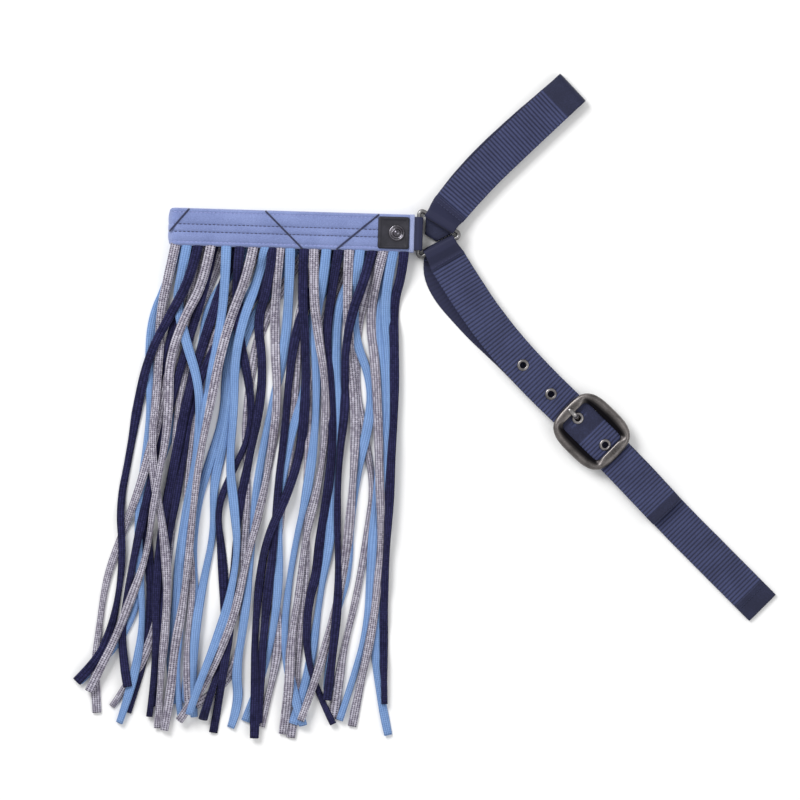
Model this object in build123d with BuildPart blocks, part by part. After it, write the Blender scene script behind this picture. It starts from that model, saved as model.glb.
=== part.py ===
from build123d import *
from math import atan2, cos, degrees, radians, sin, sqrt, tan
import os

# A fringed fly mask for a horse, folded in half and lying flat: a padded browband, a triangular
# ring at each end of it, a strap over the poll, a buckled strap under the throat, and a fringe.
# Millimetres, +Z up, standing on z = 0. "Near" is the half that lies on top, "far" the half under it.

# ---- webbing, rings and heights ----
WEBBING_WIDTH = 30
WEBBING_THICKNESS = 1.6
LOOP_WIDTH = 22  # webbing gathered where it passes through a ring
LOOP_GAP = 0.3  # between a wire and the webbing around it
SEAM_PRESS = 0.1  # how far two sewn layers press into each other
FILLET_EASE = 0.05  # what a full bend's radius keeps back from the largest that fits
RING_WIRE = 3.2
RING_SIDE = 40  # along the wire's centre line, corner to corner
RING_CORNER = 2.6
RING_CENTRE = (-31.2, 90.3)
HALF_HEIGHT = RING_WIRE + 2 * LOOP_GAP + 2 * WEBBING_THICKNESS  # each folded half is this high
HALF_SPACING = 8.9  # from the far half's height to the near half's
FAR_Z = HALF_HEIGHT / 2
NEAR_Z = FAR_Z + HALF_SPACING
FAR_LOW = FAR_Z - HALF_HEIGHT / 2
NEAR_LOW = NEAR_Z - HALF_HEIGHT / 2
HALVES = (("far", FAR_Z), ("near", NEAR_Z))

# ---- browband ----
BAND_HEADING = 178.3  # degrees, from the rings towards the fold
BAND_LENGTH = 200  # from the ring's bar to the outside of the fold
BAND_START = 3.85  # where the cover begins, from the ring's bar
BAND_WIDTH = 30
COVER_WALL = 1.2
PADDING_START = 16
FOLD_X = BAND_LENGTH - HALF_HEIGHT / 2  # the fold's outermost middle line
FOLD_RADIUS = HALF_SPACING / 2 - FILLET_EASE
END_LOOP_WIDTH = 25
END_LOOP_CLOSING = (1.2, 5.2)  # where its two layers begin and end closing up, from the bar
END_LOOP_BENDS = (1.5, 2)
END_LOOP_JOIN = 0.2  # by which its two halves overlap behind the wire
TONGUE_LENGTH = 12
TONGUE_Z = 0.78  # half the spacing of the tongue's two layers

# ---- straps: points of the centre lines, seen from above ----
CROWN_HEADING = BAND_HEADING - 120
THROAT_HEADING = BAND_HEADING + 120
CROWN_ROUTE = ((-19.5, 109), (6, 137.6), (42, 171.8))
FAR_CROWN_ROUTE = ((-19.5, 109), (4.3, 139.3), (40.3, 173.5))
CROWN_END = (77.1, 204.6)
THROAT_ROUTE = ((-17.5, 65), (8, 25.2), (33, -6), (62.4, -36.8), (93.7, -65.8))
FAR_THROAT_ROUTE = ((-21.3, 56), (2.3, 21.1), (30.6, -7.8), (62.4, -36.8), (93.7, -65.8))
BUCKLE_CENTRE = (95.2, -67.2)
BUCKLE_HEADING = -44.5
TIP = (155.2, -131)
BELOW_BUCKLE = ((134.4, -107), (158.4, -134), (194.4, -170))
THROAT_END = (231.3, -207.2)
LOOP_SLACK = 1.5  # lengthwise play of the strap loops on the ring's bars
FAR_CROWN_SLACK = 2.5  # this loop hangs looser, further into the ring
FAR_CROWN_LOOP_WIDTH = 19
LOOP_LENGTH = 15  # from the bar to where the loop's own layers end
FAR_THROAT_LOOP = 12.5
LOOP_TOP = 1.5  # how far a loop's upper layer stays level past its wire
SLOPE = 6  # length over which a loop's returning layer comes down
SLOPE_BEND = 2
FOLD_OVERLAP = 1  # length of a fold's layers that lies inside the strap
SLAB_START = 5  # where the strap's full width begins, from the bar

# ---- buckle ----
EYELET_PITCH = 30.5
FREE_EYELETS = ((40.6, -14.2), (62.9, -37.3))  # the ones above the buckle
EYELET_BORE = 2.5
EYELET_WALL = 0.5
EYELET_FIT = 0.05
EYELET_FLANGE = 4.7
FLANGE_THICKNESS = 0.6
BAR_RADIUS = 1.4
BAR_Z = 5.2
BUCKLE_LOOP = 24
CARRIED_START = 16  # where the upper layer begins, from the buckle's centre
CARRIED_Z = 1.9  # underside of the buckle strap's upper layer
FRAME_LENGTH = 57.6
FRAME_WIDTH = 49.6
FRAME_CORNER = 16
FRAME_EDGE = 1.3
OPENING_LENGTH = 41
OPENING_WIDTH = 28.6
OPENING_CORNER = 3.5
FRAME_Z = 11.6
FRAME_THICKNESS = 3.2
LUG_INNER = 15.8  # distance of the lug's inner face from the strap's centre line
LUG_THICKNESS = 3.2
LUG_LENGTH = 7
LUG_CORNER = 1.2
LUG_DROP = 1.2  # how far a lug reaches below the bar
LUG_ROOT = 1  # how far it runs up into the frame
LUG_SKIN = 0.8  # what is left outside the bar's blind hole
BAR_FIT = 0.02
BAR_END_GAP = 0.1
PRONG_THICKNESS = 2.2
PRONG_WIDTH = 3
PRONG_EYE_WALL = 1.2
PRONG_ROOT = 1.8  # where the prong leaves its eye, from the bar
PRONG_RISE = (13.6, 18.5)  # between these it climbs through an eyelet
PRONG_REACH = 28.2
PRONG_BEND = 2
PRONG_SLOT_WIDTH = 5
PRONG_SLOT_LENGTH = 10
SHAFT_CLEARANCE = 0.08
FRAME_CLEARANCE = 0.25  # between the prong and the frame it rests on

# ---- badge ----
BADGE_FROM_BAR = 20
BADGE_LENGTH = 24.8
BADGE_HEIGHT = 25.6
BADGE_THICKNESS = 1.3
BADGE_BORDER = 2.4
BADGE_CORNER = 1.5
FIELD_CORNER = 0.8
FIELD_DEPTH = 0.4
STUD_FROM_BAR = 17.5
STUD_RADIUS = 6.4
STUD_HEIGHT = 2.2
STUD_ROUNDING = 1.6

# ---- piping: both ends of each slanting line, as (along the band from the ring's bar, up across it) ----
PIPING = (((198, -4), (183.5, 14.5)), ((92.8, -14.5), (122.4, 14.5)), ((64.9, -14.5), (32.1, 14.5)))
PIPING_WIDTH = 1.6
PIPING_THICKNESS = 0.6

# ---- fringe: flat laces, (colour, layer, route seen from above), sewn in under the band ----
LACE_WIDTH = 8
LACE_THICKNESS = 1
LACE_PITCH = 1.2  # height of one layer of laces
FAR_LACE_Z = 0
NEAR_LACE_Z = 9.4
FAR_LACES = (
    ("blue", 3, (
        (-235, 84.6), (-242, 54), (-256, 24), (-258, -12), (-257, -50), (-261, -92), (-267, -138),
        (-266, -180), (-263, -212), (-266, -244), (-273, -274), (-282, -300),
    )),
    ("navy", 1, (
        (-226, 84.4), (-232, 46), (-240, 8), (-252, -36), (-259, -78), (-261, -122), (-259, -162),
        (-256, -198), (-259, -234), (-266, -266), (-275, -292),
    )),
    ("grey", 4, (
        (-216, 84.1), (-222, 46), (-234, 10), (-245, -30), (-254, -72), (-266, -114), (-280, -150),
        (-293, -186), (-299, -230), (-302, -262), (-300, -292),
    )),
    ("navy", 5, (
        (-206, 83.8), (-214, 46), (-226, 8), (-238, -34), (-247, -72), (-259, -118), (-269, -162),
        (-277, -204), (-281, -238), (-275, -271),
    )),
    ("grey", 2, (
        (-197, 83.5), (-209, 50), (-225, 18), (-229, -15), (-236, -54), (-238, -98), (-241, -142),
        (-246, -190), (-253, -228), (-270, -263), (-288, -287),
    )),
    ("navy", 4, (
        (-187, 83.2), (-201, 46), (-214, 6), (-227, -36), (-234, -74), (-243, -118), (-250, -162),
        (-253, -206), (-252, -236), (-254, -266), (-258, -295),
    )),
    ("blue", 0, (
        (-178, 82.9), (-195, 57), (-212, 30), (-215, 0), (-229, -38), (-245, -78), (-259, -122),
        (-266, -166), (-266, -199), (-276, -227), (-294, -250), (-314, -267),
    )),
    ("grey", 1, (
        (-168, 82.6), (-186, 50), (-206, 18), (-216, -18), (-220, -54), (-227, -100), (-228, -146),
        (-223, -188), (-226, -222), (-228, -255), (-226, -286),
    )),
    ("blue", 0, (
        (-158, 82.4), (-173, 50), (-190, 18), (-197, -18), (-198, -54), (-210, -92), (-219, -122),
        (-223, -158), (-222, -202), (-227, -244), (-230, -284),
    )),
    ("navy", 3, (
        (-149, 82.1), (-168, 46), (-197, 14), (-212, -12), (-226, -48), (-230, -86), (-238, -130),
        (-246, -170), (-250, -212), (-249, -250), (-253, -287),
    )),
    ("blue", 2, (
        (-139, 81.8), (-162, 46), (-182, 10), (-193, -34), (-198, -74), (-207, -110), (-206, -146),
        (-215, -188), (-221, -224), (-223, -260), (-222, -295),
    )),
    ("grey", 3, (
        (-130, 81.5), (-149, 54), (-170, 14), (-178, -28), (-181, -70), (-179, -114), (-182, -158),
        (-183, -202), (-185, -246), (-203, -276), (-221, -285),
    )),
    ("grey", 0, (
        (-121, 81.3), (-131, 50), (-140, 18), (-141, -26), (-144, -66), (-148, -104), (-154, -142),
        (-160, -186), (-154, -234), (-160, -269), (-169, -303),
    )),
    ("navy", 2, (
        (-111, 81.0), (-126, 50), (-141, 14), (-147, -30), (-150, -70), (-155, -110), (-158, -154),
        (-164, -202), (-167, -236), (-169, -268), (-170, -300),
    )),
    ("blue", 1, (
        (-102, 80.7), (-118, 50), (-133, 10), (-132, -30), (-144, -66), (-153, -106), (-156, -142),
        (-154, -182), (-158, -222), (-167, -262), (-181, -299),
    )),
    ("grey", 0, (
        (-92, 80.4), (-107, 46), (-122, 10), (-128, -34), (-130, -78), (-133, -122), (-132, -162),
        (-135, -206), (-139, -242), (-141, -277), (-145, -312),
    )),
    ("blue", 1, (
        (-82, 80.1), (-96, 58), (-108, 30), (-109, -14), (-107, -62), (-113, -102), (-112, -146),
        (-121, -194), (-126, -234), (-133, -270), (-143, -301),
    )),
    ("grey", 0, (
        (-73, 79.8), (-85, 46), (-93, 10), (-93, -38), (-85, -76), (-79, -110), (-83, -146),
        (-92, -198), (-102, -238), (-107, -269), (-111, -297),
    )),
    ("blue", 1, (
        (-63, 79.5), (-71, 50), (-74, 10), (-70, -34), (-73, -78), (-78, -130), (-81, -178),
        (-83, -222), (-94, -262), (-106, -298),
    )),
)
NEAR_LACES = (
    ("grey", 1, (
        (-236, 84.7), (-242, 58), (-248, 33), (-250, 2), (-252, -38), (-256, -74), (-253, -112),
        (-246, -148), (-243, -190), (-245, -228), (-249, -266), (-251, -304),
    )),
    ("blue", 0, (
        (-227, 84.4), (-232, 58), (-236, 36), (-229, 6), (-218, -28), (-217, -66), (-223, -106),
        (-230, -138), (-235, -174), (-238, -214), (-242, -250), (-239, -285),
    )),
    ("navy", 2, (
        (-218, 84.1), (-224, 56), (-240, 28), (-258, -5), (-267, -44), (-274, -86), (-282, -126),
        (-279, -164), (-283, -202), (-292, -238), (-304, -255), (-316, -267),
    )),
    ("grey", 3, (
        (-208, 83.8), (-214, 52), (-230, 24), (-242, -10), (-242, -48), (-246, -82), (-254, -124),
        (-260, -167), (-273, -202), (-286, -235), (-297, -256), (-306, -275),
    )),
    ("blue", 1, (
        (-196, 83.5), (-197, 50), (-202, 10), (-210, -28), (-216, -70), (-223, -114), (-230, -154),
        (-233, -194), (-234, -234), (-237, -266), (-233, -295),
    )),
    ("navy", 0, (
        (-185, 83.2), (-189, 46), (-186, 6), (-176, -38), (-178, -72), (-192, -100), (-204, -128),
        (-200, -164), (-198, -202), (-197, -242), (-208, -274), (-215, -297),
    )),
    ("grey", 2, (
        (-174, 82.8), (-179, 58), (-192, 26), (-201, -6), (-208, -42), (-217, -84), (-222, -122),
        (-226, -166), (-231, -206), (-238, -242), (-241, -278), (-246, -306),
    )),
    ("blue", 3, (
        (-164, 82.5), (-171, 54), (-183, 22), (-190, -12), (-190, -50), (-194, -92), (-190, -128),
        (-187, -162), (-194, -204), (-206, -239), (-218, -269), (-226, -293),
    )),
    ("navy", 1, (
        (-159, 82.4), (-162, 50), (-172, 22), (-167, -12), (-170, -52), (-179, -92), (-187, -134),
        (-191, -178), (-193, -216), (-197, -248), (-202, -280), (-207, -308),
    )),
    ("grey", 2, (
        (-153, 82.2), (-157, 45), (-158, 2), (-155, -42), (-161, -88), (-169, -128), (-180, -170),
        (-190, -215), (-204, -250), (-218, -276), (-234, -298),
    )),
    ("blue", 0, (
        (-145, 82.0), (-146, 42), (-150, -4), (-161, -52), (-169, -90), (-174, -132), (-177, -174),
        (-182, -218), (-189, -260), (-186, -284), (-193, -304),
    )),
    ("navy", 1, (
        (-134, 81.6), (-136, 42), (-133, 2), (-133, -42), (-137, -84), (-148, -119), (-165, -154),
        (-171, -194), (-174, -236), (-173, -275), (-174, -312),
    )),
    ("grey", 2, (
        (-126, 81.4), (-127, 46), (-123, 10), (-117, -28), (-117, -68), (-122, -108), (-133, -150),
        (-138, -194), (-145, -234), (-146, -274), (-151, -309),
    )),
    ("blue", 0, (
        (-116, 81.1), (-118, 56), (-126, 22), (-124, -20), (-125, -64), (-131, -112), (-140, -150),
        (-147, -192), (-151, -234), (-145, -269), (-135, -302),
    )),
    ("navy", 1, (
        (-106, 80.8), (-112, 46), (-117, 8), (-113, -34), (-111, -72), (-115, -114), (-122, -154),
        (-124, -180), (-131, -204), (-133, -240), (-125, -273), (-111, -301),
    )),
    ("grey", 2, (
        (-98, 80.6), (-100, 43), (-98, -2), (-93, -46), (-94, -90), (-97, -132), (-101, -170),
        (-109, -212), (-119, -246), (-128, -274), (-137, -298),
    )),
    ("blue", 0, (
        (-89, 80.3), (-94, 46), (-95, 10), (-80, -28), (-82, -60), (-93, -103), (-97, -142),
        (-98, -180), (-108, -208), (-114, -242), (-115, -274),
    )),
    ("navy", 3, (
        (-79, 80.0), (-85, 56), (-96, 28), (-102, -6), (-101, -44), (-106, -86), (-108, -130),
        (-107, -170), (-107, -202), (-111, -242), (-116, -282),
    )),
    ("grey", 1, (
        (-70, 79.7), (-77, 54), (-82, 24), (-77, -18), (-75, -62), (-74, -106), (-72, -150),
        (-76, -198), (-82, -238), (-90, -271), (-96, -303),
    )),
    ("blue", 0, (
        (-62, 79.5), (-67, 56), (-70, 28), (-66, -6), (-65, -48), (-70, -94), (-72, -134),
        (-71, -170), (-76, -212), (-78, -242), (-74, -276), (-67, -310),
    )),
    ("navy", 2, (
        (-54, 79.3), (-56, 58), (-63, 36), (-62, -2), (-62, -50), (-65, -94), (-67, -142),
        (-70, -190), (-71, -238), (-70, -285),
    )),
)


def side_plane(start, heading):
    """An upright plane: its x runs along the heading from start, and its y is up."""
    along = Vector(cos(radians(heading)), sin(radians(heading)), 0)
    return Plane(origin=(*start, 0), x_dir=along, z_dir=along.cross(Vector(0, 0, 1)))


def plan_plane(start, heading, height):
    """A level plane whose x runs along the heading."""
    along = Vector(cos(radians(heading)), sin(radians(heading)), 0)
    return Plane(origin=(*start, height), x_dir=along, z_dir=(0, 0, 1))


def beyond(start, heading, distance):
    """The point that far along the heading."""
    return (
        start[0] + distance * cos(radians(heading)),
        start[1] + distance * sin(radians(heading)),
    )


def heading_of(start, end):
    """The heading, in degrees, of the run between two points."""
    return degrees(atan2(end[1] - start[1], end[0] - start[0]))


def bar_centre(heading):
    """The middle of the ring's bar that faces the heading."""
    return beyond(RING_CENTRE, heading, RING_SIDE / (2 * sqrt(3)))


def corner_radii(points):
    """The largest arcs that a route's corners take: 0.45 of the shorter run over tan(half the turn)."""
    vectors = [Vector(*b) - Vector(*a) for a, b in zip(points, points[1:])]
    radii = []
    for run, following in zip(vectors, vectors[1:]):
        shorter = min(run.length, following.length)
        radii.append(0.45 * shorter / tan(radians(run.get_angle(following)) / 2))
    return radii


def flat_strip(points, low, width, thickness):
    """A level strip along a route seen from above, with its underside at low."""
    with BuildPart() as strip:
        with BuildSketch(Plane.XY.offset(low)) as outline:
            with BuildLine() as route:
                FilletPolyline(*points, radius=corner_radii(points))
            trace(route.line, line_width=width)
        extrude(outline.sketch, amount=thickness)
    return strip.part


def eye_loop(start, heading, centre_z, wire_radius, slack, width, length):
    """Webbing that goes round a bar at start and is sewn down onto itself, running out along heading.

    Its lower layer is level, and its upper layer comes back down onto it.
    """
    offset_z = wire_radius + LOOP_GAP + WEBBING_THICKNESS / 2
    reach = offset_z + slack
    low, high = centre_z - offset_z, centre_z + offset_z
    sewn = low + WEBBING_THICKNESS - SEAM_PRESS
    top_end = wire_radius + LOOP_TOP
    slope_end = top_end + SLOPE
    with BuildPart() as loop:
        with BuildSketch(side_plane(start, heading)) as profile:
            with BuildLine() as around:
                FilletPolyline(
                    (length, low), (-reach, low), (-reach, high), (top_end, high),
                    radius=offset_z - FILLET_EASE,
                )
            trace(around.line, line_width=WEBBING_THICKNESS)
            with BuildLine() as returned:
                FilletPolyline(
                    (top_end - SLOPE_BEND, high), (top_end, high), (slope_end, sewn),
                    (length, sewn), radius=SLOPE_BEND,
                )
            trace(returned.line, line_width=WEBBING_THICKNESS)
        extrude(profile.sketch, amount=width / 2, both=True)
    return loop.part


def strap_fold(end, heading, low, high):
    """The webbing's turn past the end of a folded strap, from the layer at low to the one at high."""
    low_z, high_z = low + WEBBING_THICKNESS / 2, high + WEBBING_THICKNESS / 2
    bend = (high_z - low_z) / 2
    with BuildPart() as fold:
        with BuildSketch(side_plane(end, heading)) as profile:
            with BuildLine() as turn:
                FilletPolyline(
                    (-FOLD_OVERLAP, low_z), (bend, low_z), (bend, high_z), (-FOLD_OVERLAP, high_z),
                    radius=bend - FILLET_EASE,
                )
            trace(turn.line, line_width=WEBBING_THICKNESS)
        extrude(profile.sketch, amount=WEBBING_WIDTH / 2, both=True)
    return fold.part


def folded_band(start, thickness, width):
    """The browband's course from start, round its fold and back, with that thickness and width."""
    with BuildPart() as folded:
        with BuildSketch(side_plane(BAND_BAR, BAND_HEADING)) as profile:
            with BuildLine() as course:
                FilletPolyline(
                    (start, FAR_Z), (FOLD_X, FAR_Z), (FOLD_X, NEAR_Z), (start, NEAR_Z),
                    radius=FOLD_RADIUS,
                )
            trace(course.line, line_width=thickness)
        extrude(profile.sketch, amount=width / 2, both=True)
    return folded.part


def save(part, name):
    """Labels a finished piece and writes it as its own node."""
    part.label = name
    export_step(part, f"parts/{name}.step")


os.makedirs("parts", exist_ok=True)
BAND_BAR = bar_centre(BAND_HEADING)
CROWN_BAR = bar_centre(CROWN_HEADING)
THROAT_BAR = bar_centre(THROAT_HEADING)

# ---------------- browband: folded padding inside a sewn cover ----------------
inner_thickness = HALF_HEIGHT - 2 * COVER_WALL
inner_width = BAND_WIDTH - 2 * COVER_WALL
save(folded_band(PADDING_START, inner_thickness, inner_width), "band_padding")

with BuildPart() as band_cover:
    add(folded_band(BAND_START, HALF_HEIGHT, BAND_WIDTH))
    add(folded_band(BAND_START, inner_thickness, inner_width), mode=Mode.SUBTRACT)
save(band_cover.part, "band_cover")

# Webbing loops that hold the rings, with a tongue sewn into the open end of the band.
loop_offset = RING_WIRE / 2 + LOOP_GAP + WEBBING_THICKNESS / 2
for half, centre_z in HALVES:
    with BuildPart() as end_loop:
        with BuildSketch(side_plane(BAND_BAR, BAND_HEADING)) as loop_profile:
            for side in (1, -1):
                with BuildLine() as half_loop:
                    FilletPolyline(
                        (BAND_START + TONGUE_LENGTH, centre_z + side * TONGUE_Z),
                        (END_LOOP_CLOSING[1], centre_z + side * TONGUE_Z),
                        (END_LOOP_CLOSING[0], centre_z + side * loop_offset),
                        (-loop_offset, centre_z + side * loop_offset),
                        (-loop_offset, centre_z - side * END_LOOP_JOIN),
                        radius=(*END_LOOP_BENDS, loop_offset - FILLET_EASE),
                    )
                trace(half_loop.line, line_width=WEBBING_THICKNESS)
        extrude(loop_profile.sketch, amount=END_LOOP_WIDTH / 2, both=True)
    save(end_loop.part, f"{half}_end_loop")

# Three cords sewn slantwise across the near half.
band_top = NEAR_Z + HALF_HEIGHT / 2
with BuildPart() as diagonal_piping:
    for (from_along, from_up), (to_along, to_up) in PIPING:
        with BuildSketch(plan_plane(BAND_BAR, BAND_HEADING, band_top)) as piping_outline:
            with BuildLine() as piping_line:
                Line((from_along, -from_up), (to_along, -to_up))
            trace(piping_line.line, line_width=PIPING_WIDTH)
        extrude(piping_outline.sketch, amount=PIPING_THICKNESS)
save(diagonal_piping.part, "diagonal_piping")

# ---------------- badge ----------------
badge_plane = plan_plane(beyond(BAND_BAR, BAND_HEADING, BADGE_FROM_BAR), BAND_HEADING, band_top)
with BuildPart() as badge_patch:
    with BuildSketch(badge_plane):
        RectangleRounded(BADGE_LENGTH, BADGE_HEIGHT, BADGE_CORNER)
    extrude(amount=BADGE_THICKNESS)
    with BuildSketch(badge_plane.offset(BADGE_THICKNESS)):
        RectangleRounded(
            BADGE_LENGTH - 2 * BADGE_BORDER, BADGE_HEIGHT - 2 * BADGE_BORDER, FIELD_CORNER
        )
    extrude(amount=-FIELD_DEPTH, mode=Mode.SUBTRACT)
save(badge_patch.part, "badge_patch")

with BuildPart() as badge_stud:
    with BuildSketch(badge_plane.offset(BADGE_THICKNESS - FIELD_DEPTH)):
        with Locations((STUD_FROM_BAR - BADGE_FROM_BAR, 0)):
            Circle(STUD_RADIUS)
    extrude(amount=STUD_HEIGHT)
    fillet(badge_stud.faces().sort_by(Axis.Z)[-1].edges(), STUD_ROUNDING)
save(badge_stud.part, "badge_stud")

# ---------------- rings ----------------
for half, centre_z in HALVES:
    ring_plane = plan_plane(RING_CENTRE, BAND_HEADING + 180, centre_z)
    corner = RING_SIDE / sqrt(3)
    with BuildPart() as ring:
        with BuildLine(ring_plane) as ring_line:
            FilletPolyline(
                *[(corner * cos(radians(a)), corner * sin(radians(a))) for a in (0, 120, 240)],
                radius=RING_CORNER, close=True,
            )
        with BuildSketch(Plane(ring_line.line @ 0, z_dir=ring_line.line % 0)):
            Circle(RING_WIRE / 2)
        sweep(path=ring_line.line)
    save(ring.part, f"{half}_ring")

# ---------------- crown strap: over the poll, from ring to ring ----------------
crown_start = beyond(CROWN_BAR, CROWN_HEADING, SLAB_START)
crown_turn = heading_of(CROWN_ROUTE[-1], CROWN_END)
crown_halves = (
    (FAR_Z, FAR_CROWN_ROUTE, FAR_CROWN_SLACK, FAR_CROWN_LOOP_WIDTH),
    (NEAR_Z, CROWN_ROUTE, LOOP_SLACK, LOOP_WIDTH),
)
with BuildPart() as crown_strap:
    for centre_z, route, slack, width in crown_halves:
        low = centre_z - HALF_HEIGHT / 2
        add(flat_strip((crown_start, *route, CROWN_END), low, WEBBING_WIDTH, WEBBING_THICKNESS))
        add(eye_loop(CROWN_BAR, CROWN_HEADING, centre_z, RING_WIRE / 2, slack, width, LOOP_LENGTH))
    add(strap_fold(CROWN_END, crown_turn, FAR_LOW, NEAR_LOW))
save(crown_strap.part, "crown_strap")

# ---------------- throat strap, eyelet half: from the near ring through the buckle ----------------
throat_start = beyond(THROAT_BAR, THROAT_HEADING, SLAB_START)
buckle_eyelets = [
    beyond(BUCKLE_CENTRE, BUCKLE_HEADING, offset) for offset in (-EYELET_PITCH / 2, EYELET_PITCH / 2)
]
eyelet_points = [*FREE_EYELETS, *buckle_eyelets]
with BuildPart() as eyelet_strap:
    add(flat_strip((throat_start, *THROAT_ROUTE, TIP), NEAR_LOW, WEBBING_WIDTH, WEBBING_THICKNESS))
    add(eye_loop(THROAT_BAR, THROAT_HEADING, NEAR_Z, RING_WIRE / 2, LOOP_SLACK, LOOP_WIDTH, LOOP_LENGTH))
    with BuildSketch(Plane.XY.offset(NEAR_LOW)):
        with Locations(*eyelet_points):
            Circle(EYELET_BORE + EYELET_WALL + EYELET_FIT)
    extrude(amount=WEBBING_THICKNESS, mode=Mode.SUBTRACT)
save(eyelet_strap.part, "throat_eyelet_strap")

with BuildPart() as eyelets:
    with BuildSketch(Plane.XY.offset(NEAR_LOW - FLANGE_THICKNESS)):
        with Locations(*eyelet_points):
            Circle(EYELET_FLANGE)
    extrude(amount=FLANGE_THICKNESS)
    with BuildSketch(Plane.XY.offset(NEAR_LOW)):
        with Locations(*eyelet_points):
            Circle(EYELET_BORE + EYELET_WALL)
    extrude(amount=WEBBING_THICKNESS)
    with BuildSketch(Plane.XY.offset(NEAR_LOW + WEBBING_THICKNESS)):
        with Locations(*eyelet_points):
            Circle(EYELET_FLANGE)
    extrude(amount=FLANGE_THICKNESS)
    with BuildSketch(Plane.XY.offset(NEAR_LOW - FLANGE_THICKNESS)):
        with Locations(*eyelet_points):
            Circle(EYELET_BORE)
    extrude(amount=WEBBING_THICKNESS + 2 * FLANGE_THICKNESS, mode=Mode.SUBTRACT)
save(eyelets.part, "eyelets")

# ---------------- throat strap, buckle half: far ring, fold, back to the buckle ----------------
throat_turn = heading_of(BELOW_BUCKLE[-1], THROAT_END)
with BuildPart() as buckle_strap:
    add(
        flat_strip(
            (throat_start, *FAR_THROAT_ROUTE, *BELOW_BUCKLE, THROAT_END),
            FAR_LOW, WEBBING_WIDTH, WEBBING_THICKNESS,
        )
    )
    add(eye_loop(THROAT_BAR, THROAT_HEADING, FAR_Z, RING_WIRE / 2, LOOP_SLACK, LOOP_WIDTH, FAR_THROAT_LOOP))
    add(
        flat_strip(
            (beyond(BUCKLE_CENTRE, BUCKLE_HEADING, CARRIED_START), *BELOW_BUCKLE, THROAT_END),
            CARRIED_Z, WEBBING_WIDTH, WEBBING_THICKNESS,
        )
    )
    add(eye_loop(BUCKLE_CENTRE, BUCKLE_HEADING, BAR_Z, BAR_RADIUS, 0, WEBBING_WIDTH, BUCKLE_LOOP))
    add(strap_fold(THROAT_END, throat_turn, FAR_LOW, CARRIED_Z))
    with BuildSketch(plan_plane(BUCKLE_CENTRE, BUCKLE_HEADING, CARRIED_Z)):
        Rectangle(PRONG_SLOT_LENGTH, PRONG_SLOT_WIDTH)
    extrude(amount=HALF_HEIGHT, mode=Mode.SUBTRACT)
save(buckle_strap.part, "throat_buckle_strap")

# ---------------- buckle ----------------
frame_plane = plan_plane(BUCKLE_CENTRE, BUCKLE_HEADING, FRAME_Z)
lug_middle = LUG_INNER + LUG_THICKNESS / 2
lug_foot = BAR_Z - BAR_RADIUS - LUG_DROP
bore_end = LUG_INNER + LUG_THICKNESS - LUG_SKIN
with BuildPart() as buckle_frame:
    with BuildSketch(frame_plane):
        RectangleRounded(FRAME_LENGTH, FRAME_WIDTH, FRAME_CORNER)
        RectangleRounded(OPENING_LENGTH, OPENING_WIDTH, OPENING_CORNER, mode=Mode.SUBTRACT)
    extrude(amount=FRAME_THICKNESS)
    fillet(buckle_frame.faces().sort_by(Axis.Z)[-1].edges(), FRAME_EDGE)
    with BuildSketch(plan_plane(BUCKLE_CENTRE, BUCKLE_HEADING, lug_foot)):
        with Locations((0, lug_middle), (0, -lug_middle)):
            RectangleRounded(LUG_LENGTH, LUG_THICKNESS, LUG_CORNER)
    extrude(amount=FRAME_Z + LUG_ROOT - lug_foot)
    with BuildSketch(side_plane(BUCKLE_CENTRE, BUCKLE_HEADING)):
        with Locations((0, BAR_Z)):
            Circle(BAR_RADIUS + BAR_FIT)
    extrude(amount=bore_end, both=True, mode=Mode.SUBTRACT)
save(buckle_frame.part, "buckle_frame")

with BuildPart() as buckle_bar:
    with BuildSketch(side_plane(BUCKLE_CENTRE, BUCKLE_HEADING)):
        with Locations((0, BAR_Z)):
            Circle(BAR_RADIUS)
    extrude(amount=bore_end - BAR_END_GAP, both=True)
save(buckle_bar.part, "buckle_bar")

prong_eye = BAR_RADIUS + SHAFT_CLEARANCE
prong_low = BAR_Z + PRONG_EYE_WALL
prong_top = FRAME_Z + FRAME_THICKNESS + FRAME_CLEARANCE + PRONG_THICKNESS / 2
with BuildPart() as buckle_prong:
    with BuildSketch(side_plane(BUCKLE_CENTRE, BUCKLE_HEADING)) as prong_profile:
        with BuildLine() as prong_line:
            FilletPolyline(
                (-PRONG_ROOT, prong_low), (-PRONG_RISE[0], prong_low),
                (-PRONG_RISE[1], prong_top), (-PRONG_REACH, prong_top),
                radius=PRONG_BEND,
            )
        trace(prong_line.line, line_width=PRONG_THICKNESS)
        with Locations((0, BAR_Z)):
            Circle(prong_eye + PRONG_EYE_WALL)
            Circle(prong_eye, mode=Mode.SUBTRACT)
    extrude(prong_profile.sketch, amount=PRONG_WIDTH / 2, both=True)
save(buckle_prong.part, "buckle_prong")

# ---------------- fringe: each lace begins at the band's lower edge ----------------
band_edge = side_plane(BAND_BAR, BAND_HEADING).offset(-BAND_WIDTH / 2)
for half, laces, start_z in (("far", FAR_LACES, FAR_LACE_Z), ("near", NEAR_LACES, NEAR_LACE_Z)):
    for number, (colour, layer, route) in enumerate(laces, 1):
        low = start_z + layer * LACE_PITCH
        with BuildPart() as lace:
            add(flat_strip(route, low, LACE_WIDTH, LACE_THICKNESS))
            split(bisect_by=band_edge, keep=Keep.BOTTOM)
        save(lace.part, f"{half}_lace_{number:02d}")
        length = lace.part.volume / (LACE_WIDTH * LACE_THICKNESS)
        print(f"{half}_lace_{number:02d} {colour} length {length:.0f}")
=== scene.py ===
"""The looks of a fringed fly mask that lies folded in half, around its CAD frame.

Everything is in metres, in the frame's own axes. "Near" is the half on top, "far" the half under it.
"""
import math

import bmesh
import bpy
import numpy as np
from mathutils import Matrix, noise, Vector


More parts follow.
